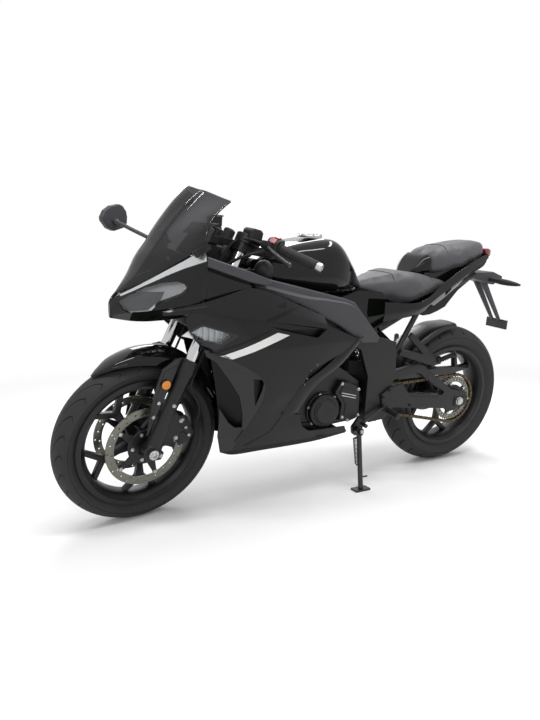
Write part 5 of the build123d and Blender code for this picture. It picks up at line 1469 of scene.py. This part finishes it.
for seatName, row in seatTable.items():
    draft = bodyMesh(row["rows"], 6, pad["shrink"])
    padMesh = swollenMesh(draft, row["cap"])
    smoother = bmesh.new()
    smoother.from_mesh(padMesh)
    for turn in range(6):
        bmesh.ops.smooth_vert(smoother, verts=smoother.verts, factor=0.5, use_axis_x=True, use_axis_y=True,
            use_axis_z=True)
    smoother.to_mesh(padMesh)
    smoother.free()
    top = surfaceOf(padMesh)
    seams = []
    front, back = row["rows"][0][0], row["rows"][-1][0]
    for share in row["seams"]:
        x = front + (back - front) * share
        line = []
        for step in range(25):
            y = -150 + 300 * step / 24
            spot, _, _, _ = top.ray_cast(Vector((x + 18 * (y / 120) ** 2, y, 1100)), Vector((0, 0, -1)))
            if spot:
                line.append(spot + Vector((0, 0, 0.4)))
        seams.append(tubeMesh(line, 1.5, sides=3))
    seat = addPiece(seatName + "_pad", placed(padMesh, bikeAt), "seatVinyl", "chassis", seatName, sharp=60,
        weighted=False)
    seat.modifiers.new("soft", "SUBSURF").levels = 1
    seat.modifiers["soft"].render_levels = 1
    addPiece(seatName + "_seams", placed(joined(*seams), bikeAt), "gripRubber", "chassis", sharp=60,
        weighted=False)
print("seats made")

# Tail: side panels, hump, deck, lamp, plate holder and indicators
tailRows = [[(-104, 84, 950), (-104, 88, 932), (-104, 70, 916)], [(0, 104, 918), (0, 108, 882), (0, 84, 854)],
    [(165, 128, 838), (165, 134, 800), (165, 110, 758)], [(300, 150, 764), (300, 150, 736), (300, 138, 712)],
    [(470, 142, 766), (470, 144, 716), (470, 138, 690)]]
tailSide = workedMesh(sheetMesh(tailRows, 5, 4, (), (1,)), 4)
hump = bodyMesh([(282, 40, 860, 870, 4), (262, 62, 860, 896, 12), (236, 76, 862, 930, 24),
        (212, 82, 864, 944, 28)], 4)
deck = bodyMesh([(-30, 90, 874, 890, 6), (-60, 90, 886, 904, 6), (-88, 84, 898, 914, 6),
        (-104, 81, 918, 952, 8)], 3)
tray = plateMesh([(163, 694), (126, 706), (84, 724), (56, 757), (22, 793), (-41, 836), (-60, 870), (0, 860),
        (165, 760), (230, 720), (200, 690)], -62, 62, 4)
tail = joined(bothSides(tailSide), hump, deck, tray)
addPiece("tail_cowl_skins", placed(tail, bikeAt), "blackLacquer", "chassis", "tail_cowls", sharp=28,
    bevel=1.5)
lightBody = bodyMesh([(-104.5, 66, 920, 968, 8), (-126, 63, 928, 971, 8), (-146, 56, 937, 967, 8)], 4)
addPiece("tail_light_lens", placed(lightBody, bikeAt), "redAcrylic", "chassis", "tail_light", sharp=30,
    bevel=1.0)
wallOutline = [(-92, 930), (0, 902), (60, 894), (196, 870), (240, 872), (300, 806), (440, 796), (560, 806),
    (640, 780), (560, 690), (515, 640), (455, 636), (400, 664), (300, 708), (165, 756), (0, 852), (-92, 914)]
piecePair("under_seat_walls", plateMesh(wallOutline, 84, 88, 1), "blackLacquer", "chassis", sharp=34)
holderArm = plateMesh([(-50, 864), (-50, 846), (-200, 812), (-250, 838), (-250, 850), (-190, 870)], -50, 50,
    6, None, 3)
legOutline = [(-180, 830), (-150, 824), (-296, 640), (-312, 640)]
bracketLoops = [[(-58, -21), (58, -21), (58, 21), (-58, 21)], circle(3.2, 16, -40, 0), circle(3.2, 16, 40, 0)]
bracket = piercedMesh(bracketLoops, 8, 0.8)
bracket.transform(Matrix.Translation((-314, 0, 625)) @ Matrix.Rotation(radians(90), 4, "Z"))
holder = joined(holderArm, bothSides(plateMesh(legOutline, 14, 26, 3)), bracket)
addPiece("plate_holder_moulded", placed(holder, bikeAt), "pebbledPolypropylene", "chassis", "plate_holder",
    sharp=34)
blinker = latheMesh([(9, 0), (9.5, 20), (12, 44), (13, 62), (12, 96), (8, 130), (4, 147), (0, 150)],
    (-172, 51, 836), (-188, 201, 828), 28)
piecePair("rear_indicator_stalks", blinker, "gripRubber", "chassis", "rear_indicators", sharp=40)
print("tail made")

# Engine covers: turned generator lid, bolted sprocket cover and the clutch lid on the right
engine = {"coverIn": 118.3, "generator": (708, 358), "lidR": 66}
gx, gz = engine["generator"]
lidRows = [(66, 0), (66, 20), (64, 25), (60, 28), (52, 30), (50, 33), (47, 34), (45, 36), (43, 39), (40, 40),
    (16, 40), (14, 38.6), (0, 38.6)]
lid = latheMesh(lidRows, (gx, engine["coverIn"], gz), (gx, 200, gz), 64)
rimLid = latheMesh([(70, 0), (70, 8), (66, 10), (60, 10)], (gx, engine["coverIn"], gz), (gx, 200, gz), 64)
sprocketLid = plateMesh([(548, 318), (552, 400), (556, 440), (600, 462), (640, 470), (668, 426), (634, 380),
        (640, 318), (600, 300)],
    engine["coverIn"], 144, 7, None, 3)
inset = plateMesh([(566, 336), (568, 424), (634, 450), (650, 424), (618, 378), (622, 332)], 144, 147, 2)
sumpLid = plateMesh([(560, 300), (690, 292), (820, 300), (826, 318), (690, 308), (560, 316)], 112, 126, 3)
headLid = plateMesh([(668, 520), (736, 724), (870, 676), (872, 500), (790, 470)], 100, 112, 5)
clutchLid = latheMesh([(70, 0), (70, 14), (66, 20), (56, 24), (30, 24), (28, 22), (0, 22)],
    (640, -engine["coverIn"], 370), (640, -200, 370), 64)
lidBolts = [((gx + engine["lidR"] * cos(radians(t)), 127, gz + engine["lidR"] * sin(radians(t))), (0, 1, 0))
    for t in range(15, 375, 60)]
lidBolts += [((x, 144, z), (0, 1, 0)) for x, z in ((556, 326), (562, 432), (640, 461), (630, 326),
        (604, 309))]
lidBolts += [((x, 112, z), (0, 1, 0)) for x, z in ((686, 530), (742, 708), (856, 668), (860, 512))]
lidBolts += [((640 + 62 * cos(radians(t)), -139, 370 + 62 * sin(radians(t))), (0, -1, 0))
    for t in range(0, 360, 60)]
bolts = setOnSpots(boltMesh(5, 6), lidBolts, "machinedAluminium")
lines = [plateMesh([(574, z), (574, z + 3), (640, z + 21), (640, z + 18)], 147, 147.8, 0.2)
    for z in (396, 406)]
engineLids = joined(withFinish(joined(lid, rimLid, sprocketLid, inset, sumpLid, headLid, clutchLid), 0),
    withFinish(joined(bolts, *lines), 1))
addPiece("engine_lids", placed(engineLids, bikeAt), ("powderCoatedAlloy", "machinedAluminium"), "chassis",
    "engine_covers", sharp=32)
finSpots = [((760, 104, z), Matrix.Rotation(radians(-18), 4, "Y")) for z in range(540, 690, 14)]
fins = setOnSpots(plateMesh([(-78, -2), (-78, 2), (92, 2), (92, -2)], -6, 4, 0.8), finSpots,
    "powderCoatedAlloy")
piecePair("cylinder_fins", fins, "powderCoatedAlloy", "chassis", sharp=30)
print("engine lids made")

# Swingarm: pierced box arms with adjusters, and the cross block at the pivot
armOutline = [(462, 338), (462, 462), (420, 474), (258, 502), (225, 494), (50, 372), (-46, 348), (-52, 296),
    (-20, 280), (60, 284)]
armWindow = [(416, 402), (416, 436), (256, 464), (238, 458), (92, 364), (100, 352)]
arm = piercedMesh([armOutline, armWindow, circle(10.4, 24, 0, 314), circle(13.4, 24, 440, 372)], 22, 3)
arm.transform(Matrix.Translation((0, 113, 0)))
crossBlock = plateMesh([(462, 346), (462, 395), (380, 395), (380, 346)], -103, 103, 4)
adjuster = plateMesh([(-48, 298), (-48, 330), (26, 334), (26, 294)], 124, 127.5, 2)
adjusterBolt = barMesh((-52, 113, 314), (-70, 113, 314), 5, 6)
stripes = plateMesh([(120, 320), (120, 344), (400, 384), (400, 362)], 124, 126, 1.2)
swingarm = joined(withFinish(joined(bothSides(joined(arm, adjuster, stripes)), crossBlock), 0),
    withFinish(bothSides(adjusterBolt), 1))
addPiece("swingarm_box", placed(swingarm, bikeAt), ("powderCoatedAlloy", "machinedAluminium"), "chassis",
    "swingarm", sharp=32)

# Rear sprocket: toothed, drilled ring on a five-armed carrier
chain = {"pitch": 15.875, "rearTeeth": 43, "driveTeeth": 14, "driveX": 545.0, "driveZ": 372.0, "y": 84.0}
sprocket = {"tipR": 100.0, "rootR": 94.5, "innerR": 76.0, "holes": 30, "holeR": 4.2}
teeth = []
for tooth in range(chain["rearTeeth"]):
    for share, radius in ((0.1, "tipR"), (0.3, "tipR"), (0.55, "rootR"), (0.85, "rootR")):
        teeth.append(polar(sprocket[radius], (tooth + share) * 360 / chain["rearTeeth"]))
sprocketHoles = [circle(sprocket["holeR"], 12, *polar(85, at * 360 / sprocket["holes"]))
    for at in range(sprocket["holes"]) if at % 6 != 0]
toothRing = piercedMesh([teeth, circle(sprocket["innerR"], 72)] + sprocketHoles, 6, 0.5)
carrierArms = [plateMesh([(50, -15), (79, -9), (79, 9), (50, 15)], -3, 3, 1.5,
        Matrix.Rotation(radians(72 * at), 4, "Y")) for at in range(5)]
carrierRing = latheMesh([(32, -5), (60, -3), (62, -1), (62, 1), (60, 3), (40, 4), (32, 4), (32, -5)],
    (0, 0, 0), (0, 1, 0), 56)
hubRing = latheMesh([(32, -8), (42, -8), (42, 0), (32, 0), (32, -8)], (0, 0, 0), (0, 1, 0), 48)
nutSpots = [((70 * cos(radians(72 * at)), 3, -70 * sin(radians(72 * at))), (0, 1, 0)) for at in range(5)]
nuts = setOnSpots(latheMesh([(7, 0), (7, 4), (5, 6), (3, 6), (0, 6)], (0, 0, 0), (0, 0, 1), 6), nutSpots,
    "machinedAluminium")
wheelSprocket = joined(withFinish(toothRing, 0), withFinish(joined(*carrierArms, carrierRing, hubRing), 1),
    withFinish(nuts, 2))
addPiece("rear_sprocket_toothed", placed(wheelSprocket, rearHubAt @ Matrix.Translation((0, 84, 0))),
    ("groundSteel", "powderCoatedAlloy", "machinedAluminium"), "rear_wheel",
    "rear_sprocket", sharp=32, weighted=False)


# Chain: pins a pitch apart round both sprockets, with wide and narrow links between them.
def chainPins():
    rearR = chain["pitch"] / (2 * sin(pi / chain["rearTeeth"]))
    driveR = chain["pitch"] / (2 * sin(pi / chain["driveTeeth"]))
    run = Vector((chain["driveX"], 0, chain["driveZ"] - stance["rearAxleUp"]))
    slope = degrees(asin(run.z / run.length))
    splay = degrees(asin((rearR - driveR) / run.length))
    straight = run.length * cos(radians(splay))
    rearArc = rearR * radians(180 + 2 * splay)
    total = 2 * straight + rearArc + driveR * radians(180 - 2 * splay)
    count = 2 * round(total / chain["pitch"] / 2)
    top, low = slope + 90 - splay, slope - 90 + splay
    pins = []
    for link in range(count):
        along = link * total / count
        if along < straight:
            x, z = polar(driveR, top)
            back = polar(along, slope - splay)
            pins.append(Vector((chain["driveX"] + x - back[0], 0, chain["driveZ"] + z - back[1])))
        elif along < straight + rearArc:
            x, z = polar(rearR, top + degrees((along - straight) / rearR))
            pins.append(Vector((x, 0, stance["rearAxleUp"] + z)))
        elif along < 2 * straight + rearArc:
            x, z = polar(rearR, low)
            ahead = polar(along - straight - rearArc, slope + splay)
            pins.append(Vector((x + ahead[0], 0, stance["rearAxleUp"] + z + ahead[1])))
        else:
            x, z = polar(driveR, low + degrees((along - 2 * straight - rearArc) / driveR))
            pins.append(Vector((chain["driveX"] + x, 0, chain["driveZ"] + z)))
    return pins


def linkMesh(outY, thick):
    outline = []
    for side in (1, -1):
        for angle in (-70, -25, 25, 70):
            x, z = polar(6.8, angle if side > 0 else angle + 180)
            outline.append((x + side * chain["pitch"] / 2, z))
        outline.append((0, side * 4.6))
    plates = [plateMesh(outline, y - thick / 2, y + thick / 2, 0) for y in (outY, -outY)]
    roller = latheMesh([(4.6, -outY), (4.6, outY)], (chain["pitch"] / 2, 0, 0), (chain["pitch"] / 2, 1, 0),
        10)
    return joined(*plates, roller)


pins = chainPins()
linkSpots = [[], []]
for at, pin in enumerate(pins):
    after = pins[(at + 1) % len(pins)]
    run = (after - pin).normalized()
    turn = Matrix.Rotation(-atan2(run.z, run.x), 4, "Y")
    middle = (pin + after) / 2
    linkSpots[at % 2].append(((middle.x, chain["y"], middle.z), turn))
links = joined(setOnSpots(linkMesh(7.2, 1.9), linkSpots[0], "greasedChain"),
    setOnSpots(linkMesh(5.0, 1.9), linkSpots[1], "greasedChain"))
addPiece("drive_chain_links", placed(links, bikeAt), "greasedChain", "chassis", "drive_chain", sharp=35,
    weighted=False)
print("chain made with", len(pins), "links")

# Rear hugger and chain guard
huggerRows = []
for angle, crest, halfWidth, low in [(18, 335, 72, 318), (45, 341, 74, 316), (70, 342, 73, 316),
        (90, 336, 60, 318)]:
    row = []
    for share, rise in ((-1, 0), (-0.95, 0.5), (-0.76, 0.86), (-0.3, 0.98), (0, 1), (0.3, 0.98), (0.76, 0.86),
            (0.95, 0.5), (1, 0)):
        r = low + (crest - low) * rise
        x, z = polar(r, angle)
        row.append((x, halfWidth * share, z + stance["rearAxleUp"]))
    huggerRows.append(row)
hugger = workedMesh(sheetMesh(huggerRows, 6, 2, (), (2, 6), (0.6, 0, 1)), 3.5)
guardLow = stance["rearAxleUp"] + chain["pitch"] / (2 * sin(pi / chain["rearTeeth"])) + 12.5
guard = plateMesh([(330, guardLow + 12), (220, guardLow + 26), (120, guardLow + 34), (20, guardLow + 30),
        (-70, guardLow + 16), (40, guardLow), (330, guardLow)], 78, 101.7, 3)
lugs = bothSides(barMesh((270, 62, 489), (270, 101.7, 489), 6, 16))
addPiece("rear_hugger_shell", placed(joined(hugger, guard, lugs), bikeAt), "satinAbs", "chassis",
    "rear_hugger", sharp=34)

# Shock with its coil
shockTop, shockLow = Vector((562, 0, 630.7)), Vector((424, 0, 409.3))
shockRun = (shockLow - shockTop).normalized()
shockSide = shockRun.cross(Vector((0, 1, 0)))
coil = []
for step in range(7 * 14 + 1):
    turn = 2 * pi * step / 14
    coil.append(shockTop + shockRun * (48 + step * 1.35) + (shockSide * cos(turn)
            + Vector((0, 1, 0)) * sin(turn)) * 24)
damper = latheMesh([(11, 6), (11, 38), (27, 40), (27, 46), (15, 48), (15, 180), (27, 182), (27, 188),
        (11, 190), (11, 250)], shockTop, shockLow, 32)
eyes = [latheMesh([(6, -16), (14, -16), (14, 16), (6, 16), (6, -16)], p, p + Vector((0, 1, 0)), 28)
    for p in (shockTop, shockLow)]
shock = joined(withFinish(joined(damper, *eyes), 0), withFinish(tubeMesh(coil, 4.6, None, False), 1))
addPiece("rear_shock_coil", placed(shock, bikeAt), ("groundSteel", "blackenedSteel"), "chassis", "rear_shock",
    sharp=34)

# Radiator: framed core with fins
coreAt = Matrix.Translation((1010, 0, 560)) @ Matrix.Rotation(radians(-18), 4, "Y")
core = plateMesh([(-14, -124), (-14, 124), (14, 124), (14, -124)], -140, 140, 2)
tanks = [plateMesh([(-17, -125), (-17, 125), (17, 125), (17, -125)], y0, y1, 5, None, 3)
    for y0, y1 in ((-150, -128), (128, 150))]
coreFins = setOnSpots(plateMesh([(-16.6, -0.7), (-16.6, 0.7), (16.6, 0.7), (16.6, -0.7)], -128, 128, 0),
    [((0, 0, -119 + 7 * at), Matrix.Identity(4)) for at in range(35)], "powderCoatedAlloy")
hangers = bothSides(barMesh((985, 140, 640), (985, 140, 720.8), 8, 16))
radiator = joined(placed(joined(core, *tanks, coreFins), coreAt), hangers)
addPiece("radiator_core", placed(radiator, bikeAt), "powderCoatedAlloy", "chassis", "radiator", sharp=34)

# Silencer: sleeve with end caps, straps and a tail tip
muffFrom = Vector((286, -196, 334))
muffRun = (muffFrom - Vector((440, -190, 268))).normalized()
muffAcross = muffRun.cross(Vector((0, 0, 1))).normalized()
muffAt = Matrix((muffAcross, muffRun.cross(muffAcross), muffRun)).transposed().to_4x4()
muffAt.translation = muffFrom
squash = Matrix.Diagonal((0.8, 1.0, 1.0, 1.0))
sleeveRows = [(24, 0.5), (26, 8), (40, 40), (55, 58), (57, 62), (57, 66), (55.5, 68), (63, 300), (64.5, 304),
    (64.5, 330), (62, 334)]
capRows = [(62, 334), (60, 340), (48, 372), (44, 380), (30, 380), (28, 374), (26, 350), (0, 350)]
sleeve = latheMesh(sleeveRows, (0, 0, 0), (0, 0, 1), 56)
tailCap = latheMesh(capRows, (0, 0, 0), (0, 0, 1), 56)
strap = latheMesh([(60, 150), (62.5, 151), (62.8, 168), (60.5, 169), (60, 150)], (0, 0, 0), (0, 0, 1), 56)
silencer = joined(withFinish(sleeve, 0), withFinish(joined(tailCap, strap), 1))
silencer.transform(muffAt @ squash)
shaped = bmesh.new()
shaped.from_mesh(silencer)
silencer = meshOf(shaped, bikeAt)
addPiece("muffler_sleeve", silencer, ("brushedAluminium", "powderCoatedAlloy"), "chassis", "muffler",
    sharp=34)

# Footrests: hangers, ribbed pegs and foot levers
hanger = plateMesh([(462, 402), (446, 330), (412, 318), (396, 345), (300, 330), (286, 346), (360, 440),
        (420, 428)], 152.3, 161, 3)
pegStart, pegEnd = Vector((428, 161, 338)), Vector((427, 232, 330))
pegRows = [(8, 0), (12, 1), (12, 6)]
for at in range(9):
    pegRows += [(9.6, 8 + at * 7), (12, 9 + at * 7), (12, 12 + at * 7), (9.6, 13 + at * 7)]
pegRows += [(12, 70), (10, 71.5), (0, 71.5)]
peg = latheMesh(pegRows, pegStart, pegEnd, 28)
pedal = joined(tubeMesh([(448, 167, 350), (470, 168, 340), (520, 172, 316), (556, 176, 300)], 6),
    barMesh((448, 154, 350), (448, 174, 350), 9), barMesh((556, 170, 300), (556, 206, 300), 8))
hangerBolts = setOnSpots(boltMesh(5.5, 6), [((x, 161, z), (0, 1, 0))
        for x, z in ((452, 392), (424, 418), (310, 342))], "machinedAluminium")
rests = joined(withFinish(hanger, 0), withFinish(joined(peg, hangerBolts), 1), withFinish(pedal, 2))
piecePair("footrests_dressed", rests, "powderCoatedAlloy", "chassis", "footrests", sharp=32)
rearHanger = plateMesh([(376, 552), (362, 574), (250, 548), (334, 622), (318, 640), (200, 545), (150, 530),
        (145, 498), (190, 492)], 128, 140, 3)
rearPegRows = [(7, 0), (11, 1), (11, 6)]
for at in range(8):
    rearPegRows += [(8.8, 9 + at * 8), (11, 10 + at * 8), (11, 13.5 + at * 8), (8.8, 14.5 + at * 8)]
rearPegRows += [(11, 76), (9, 78), (0, 78)]
rearPeg = latheMesh(rearPegRows, (162, 138, 512), (116, 192, 556), 28)
rearRests = joined(withFinish(rearHanger, 0), withFinish(rearPeg, 1))
piecePair("rear_footrests_dressed", rearRests, "powderCoatedAlloy", "chassis", "rear_footrests", sharp=32)
print("running gear made")

# Side stand: return spring, kick tang and the bolt it turns on
stand = {"pivot": (535, 134, 248), "forward": (0.99, -0.05, 0.12), "coilR": 6.0, "wireR": 1.5, "turns": 20,
    "tangAt": 0.8}
standSolid = [bikeAt.inverted() @ (nodes["side_stand"].matrix_world @ v.co)
    for v in nodes["side_stand"].data.vertices]
pivot, forward = Vector(stand["pivot"]), Vector(stand["forward"])
footAt = max(standSolid, key=lambda spot: (spot - pivot).length)
footAt = sum((spot for spot in standSolid if (spot - footAt).length < 80),
    Vector()) / sum((spot - footAt).length < 80 for spot in standSolid)
legRun = (footAt - pivot).normalized()
springTop, springFoot = pivot + legRun * 26 + forward * 22, pivot + legRun * 130 + forward * 16
springRun = springFoot - springTop
across = springRun.normalized().cross(forward).normalized()
ahead = across.cross(springRun.normalized())
coil = []
for step in range(stand["turns"] * 8 + 1):
    angle = radians(45 * step)
    coil.append(springTop + springRun * step / (stand["turns"] * 8)
        + (across * cos(angle) + ahead * sin(angle)) * stand["coilR"])
tangFrom = pivot.lerp(footAt, stand["tangAt"])
tang = tubeMesh([tangFrom, tangFrom - forward * 18 + Vector((0, 6, 2)),
        tangFrom - forward * 26 + Vector((0, 10, 8))], 3.5)
hooks = [barMesh(pivot + legRun * 20, springTop, 4, 12), barMesh(pivot + legRun * 132, springFoot, 4, 12)]
addPiece("side_stand_spring", placed(joined(tubeMesh(coil, stand["wireR"], sides=3), tang, *hooks), bikeAt),
    "blackenedSteel", "side_stand", sharp=40)
pinRun = legRun.cross(-forward).normalized()
pinRun = pinRun if pinRun.y > 0 else -pinRun
pin = latheMesh([(9, 0), (9, 5), (6, 8), (0, 8)], pivot + pinRun * 19, pivot + pinRun * 40, 6)
addPiece("side_stand_bolt", placed(pin, bikeAt), "machinedAluminium", "chassis", sharp=32)
print("stand dressed")
